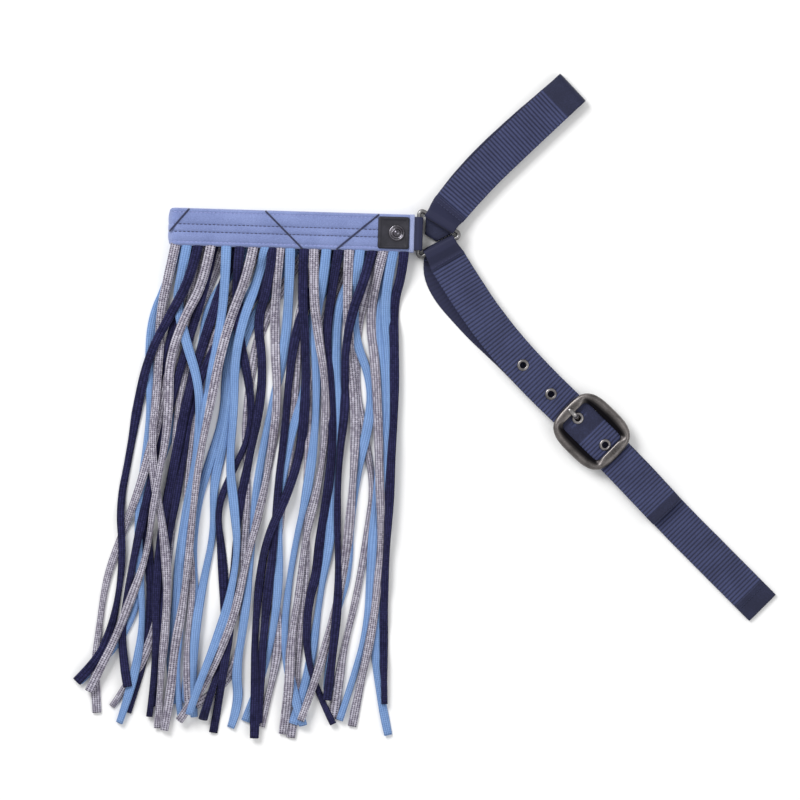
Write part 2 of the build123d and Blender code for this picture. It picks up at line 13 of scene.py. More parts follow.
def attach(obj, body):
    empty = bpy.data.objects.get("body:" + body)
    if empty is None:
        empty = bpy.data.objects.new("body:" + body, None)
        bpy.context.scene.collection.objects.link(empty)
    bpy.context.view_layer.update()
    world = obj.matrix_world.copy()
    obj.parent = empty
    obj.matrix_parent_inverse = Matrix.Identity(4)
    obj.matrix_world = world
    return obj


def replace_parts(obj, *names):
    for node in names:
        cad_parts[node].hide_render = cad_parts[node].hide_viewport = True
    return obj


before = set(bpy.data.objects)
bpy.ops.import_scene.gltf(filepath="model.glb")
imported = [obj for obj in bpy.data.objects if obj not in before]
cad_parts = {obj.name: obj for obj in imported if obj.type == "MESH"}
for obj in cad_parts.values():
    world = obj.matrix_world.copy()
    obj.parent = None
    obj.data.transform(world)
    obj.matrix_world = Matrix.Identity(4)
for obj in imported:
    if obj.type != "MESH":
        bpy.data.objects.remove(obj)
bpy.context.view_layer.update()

# ---- camera and light ----
VIEW_CENTRE = (-0.0576, -0.042)
VIEW_SIDE = 0.64
CAMERA_HEIGHT = 4.0
SENSOR = 36
FLOOR_REACH = 6.0
SKY_STRENGTH = 0.62
LIGHTS = (  # name, place, side and power
    ("key_light", (-1.0, 1.0, 1.6), 0.9, 30), ("fill_light", (1.2, -0.4, 1.8), 1.4, 9),
)

# ---- frame measures ----
RING_CENTRE = np.array((-0.0312, 0.0903))
RING_SIDE = 0.040
BAND_HEADING = 178.3
CROWN_HEADING = BAND_HEADING - 120
THROAT_HEADING = BAND_HEADING + 120
FAR_Z = 0.0035
NEAR_Z = 0.0124
WEBBING = 0.0016
WIDTH = 0.030
BAR_TURN = 0.0027  # from the middle of a ring's bar to the middle of the webbing round it

# ---- browband ----
BAND_START = 0.0038
BAND_LENGTH = 0.200
BAND_HALF_WIDTH = 0.015
BAND_HALF_THICK = 0.0035
STITCH_ROWS = (0.0118, 0.0022, -0.0038, -0.0118)  # heights above the band's middle line
PIPING = (  # both ends of each line, as (along the band, up across it)
    ((0.1985, -0.004), (0.1835, 0.0142)), ((0.0928, -0.0142), (0.1224, 0.0142)),
    ((0.0649, -0.0142), (0.0321, 0.0142)),
)
PIPING_RADIUS = 0.0008
STITCH_PITCH = 0.0034
STITCH_SHARE = 0.84  # of the pitch that shows as thread
BAND_THREAD = 0.00036
STITCH_ARCH = 1.3  # how far a stitch's middle stands up, in thread radii
STITCH_SINK = 0.5  # how far its ends sink, in thread radii
BAND_STEP = 0.0012
BINDING_LENGTH = 0.0036
OPEN_END = 0.006  # the length over which the cover swells from its open end
OPEN_END_FULLNESS = 0.35
ROW_FULLNESS = 0.62  # share of the full thickness left at a stitch row
UNQUILTED = 0.92  # mean fullness, where the quilting fades out
PUCKER_REACH = 0.0016
PUCKER_DEPTH = 0.035

# ---- badge ----
BADGE_CENTRE = 0.020  # along the band
BADGE_BASE = NEAR_Z + 0.0028
BADGE_HALF_LENGTH = 0.0124
BADGE_HALF_HEIGHT = 0.0128
BADGE_CORNER = 0.0018
FIELD_HEIGHT = 0.0009  # the patch inside its raised border
STUD_OFFSET = 0.0025

# ---- straps, seen from above ----
CROWN_ROUTE = ((-0.0195, 0.109), (0.006, 0.1376), (0.042, 0.1718), (0.0771, 0.2046))
FAR_CROWN_ROUTE = ((-0.0195, 0.109), (0.0043, 0.1393), (0.0403, 0.1735), (0.0771, 0.2046))
THROAT_ROUTE = ((-0.0175, 0.065), (0.008, 0.0252), (0.033, -0.006), (0.0624, -0.0368), (0.0937, -0.0658))
FAR_THROAT_ROUTE = (
    (-0.0244, 0.0538), (0.0034, 0.0215), (0.0330, -0.0060), (0.0624, -0.0368), (0.0937, -0.0658),
)
TIP = (0.1552, -0.131)
BELOW_BUCKLE = ((0.1344, -0.107), (0.1584, -0.134), (0.1944, -0.170), (0.2313, -0.2072))
CROSS_STITCH_PITCH = 0.0030
CROSS_STITCH = 0.0022
CROSS_THREAD = 0.0003
STRAIGHT = 0.005  # the stretch of a strap that lies square to its ring's bar
BAR_WIDTH = 0.027  # webbing gathered at a ring's bar
GATHER_START = 0.002
GATHER_LENGTH = 0.012  # the stretch over which it spreads to its full width
END_LOOP_WIDTH = 0.0265
RIB_PITCH = 0.0029
PRESSED_RIB_AND_SHADE = 0.20  # the height, in ribs, of webbing that is flattened; its low value also darkens those stretches, as painted shade
BACK_THINNESS = 0.85  # the back's share of half the webbing's thickness
SEWN_TO = 0.015
LOOP_BEND = 0.0026  # the rounding of webbing where it turns round a ring's bar
RING_PLAIN = 0.011  # the stretch pressed flat at a ring
FUSED = 0.015  # the stretch at a strap's end where heat and pressing have flattened the ribs
TIP_HEM = 0.013
FAR_CROWN_REACH = 0.0145  # this loop hangs further into the ring
WINDOW_WIDTH = 0.0278  # the room between the ring's other two loops, at the bar
WINDOW_TAPER = 2 / math.sqrt(3)
FAR_THROAT_REACH = 0.0042  # play on the far ring's bar, for the swing about the near one

# ---- buckle ----
BUCKLE_CENTRE = np.array((0.0952, -0.0672))
BUCKLE_HEADING = -44.5
EYELET_HOLE = 0.00302
BAR_Z = 0.0052
BAR_WRAP = 0.0025  # from the middle of the buckle's bar to the middle of the webbing round it
FRAME_BASE = 0.0116
FRAME_TOP = FRAME_BASE + 0.0035
FRAME_OUTER = (0.0288, 0.0248)  # half its length and half its width
FRAME_WINDOW = (0.0205, 0.0143)
LUG_MIDDLE = 0.0174
PRONG_HALF_WIDTH = 0.0018
PRONG_HALF_HEIGHT = 0.0013
PRONG_POINT = 0.0022  # the length over which it narrows to its tip
EYELETS = ((0.0406, -0.0142), (0.0629, -0.0373), (0.0843, -0.0565), (0.1061, -0.0779))

# ---- fringe ----
LACE_WIDTH = 0.008
LACE_THICKNESS = 0.0028
LACE_STEP = 0.003
LACE_EASE = 3  # steps over which a lace rises to cross another
LACE_SEWN = 0.004  # length that stays level as it leaves the band
LACE_DROP = 0.055  # length over which it comes down from the band
LACE_FOOT = 0.32  # share of its width that rests on what lies under it
LACE_FOOTPRINT = 0.42  # share of its width that carries what lies over it
LACE_REST = 0.55  # its middle's height over what it rests on, in thicknesses
LACE_TOP = 0.30  # the height over its middle at which others rest, in thicknesses
LACE_ROLL = 0.9  # radians for a full drift
LACE_ROLL_START = 0.03  # the length over which the rolling sets in
DRIFT_RATE = 14  # changes a metre
SWELL_RATE = 18
LACE_CURL_START = 0.02
LACE_CURL_LENGTH = 0.18
LACE_CURL = 0.45  # mean share of a full curl
LACE_CURL_SWING = 1.3  # how much that share varies with the swell
CURL_NARROWING = 0.36
CURL_THICKENING = 0.50
KNIT_COLUMN = 1.9  # the width of one stitch of the knit, in millimetres
KNIT_COURSE = 1.7  # its height, in millimetres
# Each lace: its colour, its layer, and the points of its route, seen from above.
FAR_LACES = (
    ("blue", 3, (
        (-0.235, 0.0846), (-0.242, 0.054), (-0.256, 0.024), (-0.258, -0.012), (-0.257, -0.05),
        (-0.261, -0.092), (-0.267, -0.138), (-0.266, -0.18), (-0.263, -0.212), (-0.266, -0.244),
        (-0.273, -0.274), (-0.282, -0.3),
    )),
    ("navy", 1, (
        (-0.226, 0.0844), (-0.232, 0.046), (-0.24, 0.008), (-0.252, -0.036), (-0.259, -0.078),
        (-0.261, -0.122), (-0.259, -0.162), (-0.256, -0.198), (-0.259, -0.234), (-0.266, -0.266),
        (-0.275, -0.292),
    )),
    ("grey", 4, (
        (-0.216, 0.0841), (-0.222, 0.046), (-0.234, 0.01), (-0.245, -0.03), (-0.254, -0.072),
        (-0.266, -0.114), (-0.28, -0.15), (-0.293, -0.186), (-0.299, -0.23), (-0.302, -0.262), (-0.3, -0.292),
    )),
    ("navy", 5, (
        (-0.206, 0.0838), (-0.214, 0.046), (-0.226, 0.008), (-0.238, -0.034), (-0.247, -0.072),
        (-0.259, -0.118), (-0.269, -0.162), (-0.277, -0.204), (-0.281, -0.238), (-0.275, -0.271),
    )),
    ("grey", 2, (
        (-0.197, 0.0835), (-0.209, 0.05), (-0.225, 0.018), (-0.229, -0.015), (-0.236, -0.054),
        (-0.238, -0.098), (-0.241, -0.142), (-0.246, -0.19), (-0.253, -0.228), (-0.27, -0.263),
        (-0.288, -0.287),
    )),
    ("navy", 4, (
        (-0.187, 0.0832), (-0.201, 0.046), (-0.214, 0.006), (-0.227, -0.036), (-0.234, -0.074),
        (-0.243, -0.118), (-0.25, -0.162), (-0.253, -0.206), (-0.252, -0.236), (-0.254, -0.266),
        (-0.258, -0.295),
    )),
    ("blue", 0, (
        (-0.178, 0.0829), (-0.195, 0.057), (-0.212, 0.03), (-0.215, 0), (-0.229, -0.038), (-0.245, -0.078),
        (-0.259, -0.122), (-0.266, -0.166), (-0.266, -0.199), (-0.276, -0.227), (-0.294, -0.25),
        (-0.314, -0.267),
    )),
    ("grey", 1, (
        (-0.168, 0.0826), (-0.186, 0.05), (-0.206, 0.018), (-0.216, -0.018), (-0.22, -0.054), (-0.227, -0.1),
        (-0.228, -0.146), (-0.223, -0.188), (-0.226, -0.222), (-0.228, -0.255), (-0.226, -0.286),
    )),
    ("blue", 0, (
        (-0.158, 0.0824), (-0.173, 0.05), (-0.19, 0.018), (-0.197, -0.018), (-0.198, -0.054), (-0.21, -0.092),
        (-0.219, -0.122), (-0.223, -0.158), (-0.222, -0.202), (-0.227, -0.244), (-0.23, -0.284),
    )),
    ("navy", 3, (
        (-0.149, 0.0821), (-0.168, 0.046), (-0.197, 0.014), (-0.212, -0.012), (-0.226, -0.048),
        (-0.23, -0.086), (-0.238, -0.13), (-0.246, -0.17), (-0.25, -0.212), (-0.249, -0.25), (-0.253, -0.287),
    )),
    ("blue", 2, (
        (-0.139, 0.0818), (-0.162, 0.046), (-0.182, 0.01), (-0.193, -0.034), (-0.198, -0.074),
        (-0.207, -0.11), (-0.206, -0.146), (-0.215, -0.188), (-0.221, -0.224), (-0.223, -0.26),
        (-0.222, -0.295),
    )),
    ("grey", 3, (
        (-0.13, 0.0815), (-0.149, 0.054), (-0.17, 0.014), (-0.178, -0.028), (-0.181, -0.07), (-0.179, -0.114),
        (-0.182, -0.158), (-0.183, -0.202), (-0.185, -0.246), (-0.203, -0.276), (-0.221, -0.285),
    )),
    ("grey", 0, (
        (-0.121, 0.0813), (-0.131, 0.05), (-0.14, 0.018), (-0.141, -0.026), (-0.144, -0.066),
        (-0.148, -0.104), (-0.154, -0.142), (-0.16, -0.186), (-0.154, -0.234), (-0.16, -0.269),
        (-0.169, -0.303),
    )),
    ("navy", 2, (
        (-0.111, 0.081), (-0.126, 0.05), (-0.141, 0.014), (-0.147, -0.03), (-0.15, -0.07), (-0.155, -0.11),
        (-0.158, -0.154), (-0.164, -0.202), (-0.167, -0.236), (-0.169, -0.268), (-0.17, -0.3),
    )),
    ("blue", 1, (
        (-0.102, 0.0807), (-0.118, 0.05), (-0.133, 0.01), (-0.132, -0.03), (-0.144, -0.066), (-0.153, -0.106),
        (-0.156, -0.142), (-0.154, -0.182), (-0.158, -0.222), (-0.167, -0.262), (-0.181, -0.299),
    )),
    ("grey", 0, (
        (-0.092, 0.0804), (-0.107, 0.046), (-0.122, 0.01), (-0.128, -0.034), (-0.13, -0.078),
        (-0.133, -0.122), (-0.132, -0.162), (-0.135, -0.206), (-0.139, -0.242), (-0.141, -0.277),
        (-0.145, -0.312),
    )),
    ("blue", 1, (
        (-0.082, 0.0801), (-0.096, 0.058), (-0.108, 0.03), (-0.109, -0.014), (-0.107, -0.062),
        (-0.113, -0.102), (-0.112, -0.146), (-0.121, -0.194), (-0.126, -0.234), (-0.133, -0.27),
        (-0.143, -0.301),
    )),
    ("grey", 0, (
        (-0.073, 0.0798), (-0.085, 0.046), (-0.093, 0.01), (-0.093, -0.038), (-0.085, -0.076),
        (-0.079, -0.11), (-0.083, -0.146), (-0.092, -0.198), (-0.102, -0.238), (-0.107, -0.269),
        (-0.111, -0.297),
    )),
    ("blue", 1, (
        (-0.063, 0.0795), (-0.071, 0.05), (-0.074, 0.01), (-0.07, -0.034), (-0.073, -0.078), (-0.078, -0.13),
        (-0.081, -0.178), (-0.083, -0.222), (-0.094, -0.262), (-0.106, -0.298),
    )),
)
NEAR_LACES = (
    ("grey", 1, (
        (-0.236, 0.0847), (-0.242, 0.058), (-0.248, 0.033), (-0.25, 0.002), (-0.252, -0.038),
        (-0.256, -0.074), (-0.253, -0.112), (-0.246, -0.148), (-0.243, -0.19), (-0.245, -0.228),
        (-0.249, -0.266), (-0.251, -0.304),
    )),
    ("blue", 0, (
        (-0.227, 0.0844), (-0.232, 0.058), (-0.236, 0.036), (-0.229, 0.006), (-0.218, -0.028),
        (-0.217, -0.066), (-0.223, -0.106), (-0.23, -0.138), (-0.235, -0.174), (-0.238, -0.214),
        (-0.242, -0.25), (-0.239, -0.285),
    )),
    ("navy", 2, (
        (-0.218, 0.0841), (-0.224, 0.056), (-0.24, 0.028), (-0.258, -0.005), (-0.267, -0.044),
        (-0.274, -0.086), (-0.282, -0.126), (-0.279, -0.164), (-0.283, -0.202), (-0.292, -0.238),
        (-0.304, -0.255), (-0.316, -0.267),
    )),
    ("grey", 3, (
        (-0.208, 0.0838), (-0.214, 0.052), (-0.23, 0.024), (-0.242, -0.01), (-0.242, -0.048),
        (-0.246, -0.082), (-0.254, -0.124), (-0.26, -0.167), (-0.273, -0.202), (-0.286, -0.235),
        (-0.297, -0.256), (-0.306, -0.275),
    )),
    ("blue", 1, (
        (-0.196, 0.0835), (-0.197, 0.05), (-0.202, 0.01), (-0.21, -0.028), (-0.216, -0.07), (-0.223, -0.114),
        (-0.23, -0.154), (-0.233, -0.194), (-0.234, -0.234), (-0.237, -0.266), (-0.233, -0.295),
    )),
    ("navy", 0, (
        (-0.185, 0.0832), (-0.189, 0.046), (-0.186, 0.006), (-0.176, -0.038), (-0.178, -0.072),
        (-0.192, -0.1), (-0.204, -0.128), (-0.2, -0.164), (-0.198, -0.202), (-0.197, -0.242),
        (-0.208, -0.274), (-0.215, -0.297),
    )),
    ("grey", 2, (
        (-0.174, 0.0828), (-0.179, 0.058), (-0.192, 0.026), (-0.201, -0.006), (-0.208, -0.042),
        (-0.217, -0.084), (-0.222, -0.122), (-0.226, -0.166), (-0.231, -0.206), (-0.238, -0.242),
        (-0.241, -0.278), (-0.246, -0.306),
    )),
    ("blue", 3, (
        (-0.164, 0.0825), (-0.171, 0.054), (-0.183, 0.022), (-0.19, -0.012), (-0.19, -0.05), (-0.194, -0.092),
        (-0.19, -0.128), (-0.187, -0.162), (-0.194, -0.204), (-0.206, -0.239), (-0.218, -0.269),
        (-0.226, -0.293),
    )),
    ("navy", 1, (
        (-0.159, 0.0824), (-0.162, 0.05), (-0.172, 0.022), (-0.167, -0.012), (-0.17, -0.052),
        (-0.179, -0.092), (-0.187, -0.134), (-0.191, -0.178), (-0.193, -0.216), (-0.197, -0.248),
        (-0.202, -0.28), (-0.207, -0.308),
    )),
    ("grey", 2, (
        (-0.153, 0.0822), (-0.157, 0.045), (-0.158, 0.002), (-0.155, -0.042), (-0.161, -0.088),
        (-0.169, -0.128), (-0.18, -0.17), (-0.19, -0.215), (-0.204, -0.25), (-0.218, -0.276), (-0.234, -0.298),
    )),
    ("blue", 0, (
        (-0.145, 0.082), (-0.146, 0.042), (-0.15, -0.004), (-0.161, -0.052), (-0.169, -0.09),
        (-0.174, -0.132), (-0.177, -0.174), (-0.182, -0.218), (-0.189, -0.26), (-0.186, -0.284),
        (-0.193, -0.304),
    )),
    ("navy", 1, (
        (-0.134, 0.0816), (-0.136, 0.042), (-0.133, 0.002), (-0.133, -0.042), (-0.137, -0.084),
        (-0.148, -0.119), (-0.165, -0.154), (-0.171, -0.194), (-0.174, -0.236), (-0.173, -0.275),
        (-0.174, -0.312),
    )),
    ("grey", 2, (
        (-0.126, 0.0814), (-0.127, 0.046), (-0.123, 0.01), (-0.117, -0.028), (-0.117, -0.068),
        (-0.122, -0.108), (-0.133, -0.15), (-0.138, -0.194), (-0.145, -0.234), (-0.146, -0.274),
        (-0.151, -0.309),
    )),
    ("blue", 0, (
        (-0.116, 0.0811), (-0.118, 0.056), (-0.126, 0.022), (-0.124, -0.02), (-0.125, -0.064),
        (-0.131, -0.112), (-0.14, -0.15), (-0.147, -0.192), (-0.151, -0.234), (-0.145, -0.269),
        (-0.135, -0.302),
    )),
    ("navy", 1, (
        (-0.106, 0.0808), (-0.112, 0.046), (-0.117, 0.008), (-0.113, -0.034), (-0.111, -0.072),
        (-0.115, -0.114), (-0.122, -0.154), (-0.124, -0.18), (-0.131, -0.204), (-0.133, -0.24),
        (-0.125, -0.273), (-0.111, -0.301),
    )),
    ("grey", 2, (
        (-0.098, 0.0806), (-0.1, 0.043), (-0.098, -0.002), (-0.093, -0.046), (-0.094, -0.09),
        (-0.097, -0.132), (-0.101, -0.17), (-0.109, -0.212), (-0.119, -0.246), (-0.128, -0.274),
        (-0.137, -0.298),
    )),
    ("blue", 0, (
        (-0.089, 0.0803), (-0.094, 0.046), (-0.095, 0.01), (-0.08, -0.028), (-0.082, -0.06), (-0.093, -0.103),
        (-0.097, -0.142), (-0.098, -0.18), (-0.108, -0.208), (-0.114, -0.242), (-0.115, -0.274),
    )),
    ("navy", 3, (
        (-0.079, 0.08), (-0.085, 0.056), (-0.096, 0.028), (-0.102, -0.006), (-0.101, -0.044),
        (-0.106, -0.086), (-0.108, -0.13), (-0.107, -0.17), (-0.107, -0.202), (-0.111, -0.242),
        (-0.116, -0.282),
    )),
    ("grey", 1, (
        (-0.07, 0.0797), (-0.077, 0.054), (-0.082, 0.024), (-0.077, -0.018), (-0.075, -0.062),
        (-0.074, -0.106), (-0.072, -0.15), (-0.076, -0.198), (-0.082, -0.238), (-0.09, -0.271),
        (-0.096, -0.303),
    )),
    ("blue", 0, (
        (-0.062, 0.0795), (-0.067, 0.056), (-0.07, 0.028), (-0.066, -0.006), (-0.065, -0.048),
        (-0.07, -0.094), (-0.072, -0.134), (-0.071, -0.17), (-0.076, -0.212), (-0.078, -0.242),
        (-0.074, -0.276), (-0.067, -0.31),
    )),
    ("navy", 2, (
        (-0.054, 0.0793), (-0.056, 0.058), (-0.063, 0.036), (-0.062, -0.002), (-0.062, -0.05),
        (-0.065, -0.094), (-0.067, -0.142), (-0.07, -0.19), (-0.071, -0.238), (-0.07, -0.285),
    )),
)


# ---------------- small tools ----------------
def unit(vectors):
    """Vectors scaled to length one."""
    return vectors / np.maximum(np.linalg.norm(vectors, axis=-1, keepdims=True), 1e-12)


def smoothstep(value):
    """Eases from 0 to 1 as the value goes from 0 to 1."""
    value = np.clip(value, 0, 1)
    return value * value * (3 - 2 * value)


def direction(heading):
    """The level unit vector along a heading in degrees."""
    return np.array((math.cos(math.radians(heading)), math.sin(math.radians(heading))))


def bar_centre(heading):
    """The middle of the ring's bar that faces the heading."""
    return RING_CENTRE + direction(heading) * RING_SIDE / (2 * math.sqrt(3))


def resample(points, step):
    """The same line with points about one step apart."""
    points = np.asarray(points, dtype=float)
    lengths = np.linalg.norm(np.diff(points, axis=0), axis=1)
    along = np.concatenate(([0], np.cumsum(lengths)))
    wanted = np.linspace(0, along[-1], max(2, round(along[-1] / step) + 1))
    return np.stack([np.interp(wanted, along, column) for column in points.T], axis=1), wanted


def smooth_route(points, height=0.0):
    """Points read from the smooth spline that a route's points control."""
    curve = bpy.data.curves.new("route", "CURVE")
    curve.dimensions = "3D"
    curve.resolution_u = 16
    spline = curve.splines.new("NURBS")
    spline.points.add(len(points) - 1)
    for control, (x, y) in zip(spline.points, points):
        control.co = (x, y, height, 1)
    spline.order_u = 3
    spline.use_endpoint_u = True
    holder = bpy.data.objects.new("route", curve)
    mesh = bpy.data.meshes.new_from_object(holder)
    line = np.array([vertex.co for vertex in mesh.vertices])
    bpy.data.meshes.remove(mesh)
    bpy.data.objects.remove(holder)
    bpy.data.curves.remove(curve)
    return line


def wander(along, frequency, *phase):
    """Smooth noise at each distance along."""
    return np.array([noise.noise(Vector((distance * frequency, *phase))) for distance in along])


def add_piece(name, vertices, faces, uvs, material, body):
    """A smooth mesh object that rides on a CAD body."""
    mesh = bpy.data.meshes.new(name)
    mesh.from_pydata([tuple(vertex) for vertex in vertices], [], faces)
    layer = mesh.uv_layers.new(name="UVMap")
    layer.data.foreach_set("uv", np.asarray(uvs, dtype=np.float32).ravel())
    mesh.shade_smooth()
    mesh.materials.append(material)
    piece = bpy.data.objects.new(name, mesh)
    bpy.context.scene.collection.objects.link(piece)
    turn_outwards(mesh)
    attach(piece, body)
    return piece


def turn_outwards(mesh):
    """Makes a closed mesh's faces look outwards."""
    work = bmesh.new()
    work.from_mesh(mesh)
    bmesh.ops.recalc_face_normals(work, faces=work.faces)
    work.to_mesh(mesh)
    work.free()


def tube_faces(count, sides, first=0, joined=False):
    """Quads between rings of points, with end caps unless the last ring joins the first."""
    faces = []
    for ring in range(count if joined else count - 1):
        following = (ring + 1) % count
        for side in range(sides):
            other = (side + 1) % sides
            corners = ((ring, side), (ring, other), (following, other), (following, side))
            faces.append([first + row * sides + column for row, column in corners])
    if not joined:
        faces.append([first + side for side in reversed(range(sides))])
        faces.append([first + (count - 1) * sides + side for side in range(sides)])
    return faces


def tube_uvs(along, around, joined=False):
    """UVs in metres for tube_faces: along each ring's distance, and around each side's."""
    uvs = []
    sides = len(around) - 1
    last = len(along) - 1
    for ring in range(last):
        for side in range(sides):
            low, high = along[ring], along[ring + 1]
            left, right = around[side], around[side + 1]
            uvs += [(low, left), (low, right), (high, right), (high, left)]
    if not joined:
        uvs += [(along[0], around[side]) for side in reversed(range(sides))]
        uvs += [(along[last], around[side]) for side in range(sides)]
    return uvs


def mark(piece, name, values):
    """Stores a number at each vertex of a piece, for its material to read."""
    layer = piece.data.attributes.new(name, "FLOAT", "POINT")
    layer.data.foreach_set("value", np.asarray(values, dtype=np.float32).ravel())


def skin(name, rings, along, material, body, joined=False, face_below=0.0):
    """A tube of quads through rings of points, as a piece.

    Its UVs around the tube are the distance round it, less face_below times the whole way round.
    """
    rings = np.asarray(rings)
    count, sides = rings.shape[:2]
    closed = np.concatenate((rings[count // 2], rings[count // 2][:1]))
    around = np.concatenate(([0], np.cumsum(np.linalg.norm(np.diff(closed, axis=0), axis=1))))
    around -= around[-1] * face_below
    faces = tube_faces(count, sides, joined=joined)
    uvs = tube_uvs(along, around, joined)
    return add_piece(name, rings.reshape(-1, 3), faces, uvs, material, body)


def frames_along(centres, across):
    """Unit tangents and normals of a line whose width runs along across."""
    tangents = unit(np.gradient(centres, axis=0))
    normals = unit(np.cross(tangents, across))
    return tangents, normals


def section(half_width, half_thick, sides, power):
    """Points of a flattened round section, as across and up offsets."""
    angles = np.linspace(0, 2 * math.pi, sides, endpoint=False) + math.pi / sides
    cosines, sines = np.cos(angles), np.sin(angles)
    across = np.sign(cosines) * np.abs(cosines) ** (2 / power) * half_width
    upward = np.sign(sines) * np.abs(sines) ** (2 / power) * half_thick
    return across, upward


# ---------------- materials ----------------
class Shader:
    """A material, built up a node at a time."""

    def __init__(self, name, colour, roughness=0.8, metallic=0.0, specular=0.5):
        self.material = bpy.data.materials.new(name)
        self.material.use_nodes = True
        self.tree = self.material.node_tree
        self.surface = self.tree.nodes["Principled BSDF"]
        self.paint((*colour, 1))
        self.put(self.surface.inputs["Roughness"], roughness)
        self.put(self.surface.inputs["Metallic"], metallic)
        self.put(self.surface.inputs["Specular IOR Level"], specular)

    def put(self, socket, value):
        if isinstance(value, bpy.types.NodeSocket):
            self.tree.links.new(value, socket)
        else:
            socket.default_value = value

    def paint(self, colour):
        self.put(self.surface.inputs["Base Color"], colour)

    def add(self, kind, values, **settings):
        node = self.tree.nodes.new(kind)
        for key, value in settings.items():
            setattr(node, key, value)
        for socket, value in values.items():
            self.put(node.inputs[socket], value)
        return node

    def math(self, operation, *values):
        node = self.add("ShaderNodeMath", {}, operation=operation)
        for socket, value in zip(node.inputs, values):
            self.put(socket, value)
        return node.outputs[0]

    def blend(self, amount, low, high):
        node = self.add("ShaderNodeMix", {0: amount}, data_type="RGBA")
        for index, colour in ((6, low), (7, high)):
            is_colour = not isinstance(colour, bpy.types.NodeSocket)
            self.put(node.inputs[index], (*colour, 1) if is_colour else colour)
        return node.outputs[2]

    def lengthwise(self):
        """The UVs in millimetres: along the piece and across it."""
        uv = self.add("ShaderNodeUVMap", {}, uv_map="UVMap").outputs["UV"]
        split = self.add("ShaderNodeSeparateXYZ", {0: uv})
        return [self.math("MULTIPLY", split.outputs[axis], 1000) for axis in (0, 1)]

    def place(self):
        return self.add("ShaderNodeTexCoord", {}).outputs["Object"]

    def marked(self, name):
        return self.add("ShaderNodeAttribute", {}, attribute_name=name).outputs["Fac"]

    def noise(self, scale, detail=3.0, vector=None):
        values = {"Scale": scale, "Detail": detail, "Vector": vector or self.place()}
        return self.add("ShaderNodeTexNoise", values).outputs["Fac"]

    def ridge(self, value, pitch):
        """A rounded ridge, from 0 in the groove to 1 on top, at each pitch."""
        return self.math("ABSOLUTE", self.math("SINE", self.math("MULTIPLY", value, math.pi / pitch)))

    def vary(self, tone, noise_value, amount):
        """A tone raised and lowered by a noise about its middle."""
        centred = self.math("SUBTRACT", noise_value, 0.5)
        return self.math("ADD", tone, self.math("MULTIPLY", centred, amount))

    def span(self, value, low, high, to_low=0.0, to_high=1.0):
        names = ("Value", "From Min", "From Max", "To Min", "To Max")
        values = dict(zip(names, (value, low, high, to_low, to_high)))
        return self.add("ShaderNodeMapRange", values).outputs[0]

    def bump(self, height, distance, strength=1.0):
        values = {"Height": height, "Distance": distance, "Strength": strength}
        node = self.add("ShaderNodeBump", values)
        self.put(self.surface.inputs["Normal"], node.outputs[0])

    def sheen(self, weight, roughness=0.5):
        self.put(self.surface.inputs["Sheen Weight"], weight)
        self.put(self.surface.inputs["Sheen Roughness"], roughness)


def webbing_material(name, dark, light, back):
    """Polyester webbing: ribs across its face, flat and darker where it is marked as pressed and shaded, the
    darkness partly painted shade, and a smooth back, darker partly for its own tone and partly as painted
    shade.
    """
    shade = Shader(name, light, roughness=0.62, specular=0.22)
    along, across = shade.lengthwise()
    on_back = shade.math("GREATER_THAN", across, 0)
    rib = shade.ridge(along, RIB_PITCH * 1000)
    # painted shade in part: flattened stretches take the dark tone of a low rib
    rib = shade.span(shade.marked("pressed_and_shaded"), 0, 1, rib, PRESSED_RIB_AND_SHADE)
    row = shade.math("FLOOR", shade.math("DIVIDE", along, RIB_PITCH * 1000))
    yarn = shade.ridge(shade.math("ADD", across, shade.math("MULTIPLY", row, 0.45)), 0.9)
    weave = shade.math("MULTIPLY", shade.math("POWER", rib, 0.9), shade.span(yarn, 0, 1, 0.6, 1))
    worn = shade.noise(60, 4)
    fine = shade.noise(900, 2)
    tone = shade.vary(shade.vary(weave, worn, 0.55), fine, 0.5)
    face = shade.blend(shade.span(tone, 0.15, 1.1), dark, light)
    # painted shade in part: the back is darker than its own tone, standing for the shadow on the under layers
    back_colour_and_shade = shade.blend(shade.span(tone, -0.2, 1.1), dark, back)
    shade.paint(shade.blend(on_back, face, back_colour_and_shade))
    relief = shade.math("MULTIPLY", weave, shade.span(on_back, 0, 1, 1, 0.3))
    shade.bump(relief, 0.0005, 0.8)
    shade.sheen(0.08)
    return shade.material


def cloth_material(name, dark, light):
    """Closely woven cloth with a melange of lighter and darker yarns."""
    shade = Shader(name, light, roughness=0.85, specular=0.2)
    along, across = shade.lengthwise()
    warp = shade.ridge(along, 0.55)
    weft = shade.ridge(shade.math("ADD", across, shade.math("MULTIPLY", along, 0.5)), 0.55)
    weave = shade.math("MULTIPLY", warp, weft)
    melange = shade.noise(1400, 2)
    cloud = shade.noise(45, 3)
    tone = shade.math("ADD", shade.math("MULTIPLY", weave, 0.45), shade.math("MULTIPLY", melange, 0.75))
    tone = shade.vary(tone, cloud, 0.5)
    shade.paint(shade.blend(shade.span(tone, 0.2, 0.95), dark, light))
    shade.bump(weave, 0.00025, 0.7)
    shade.sheen(0.35)
    return shade.material


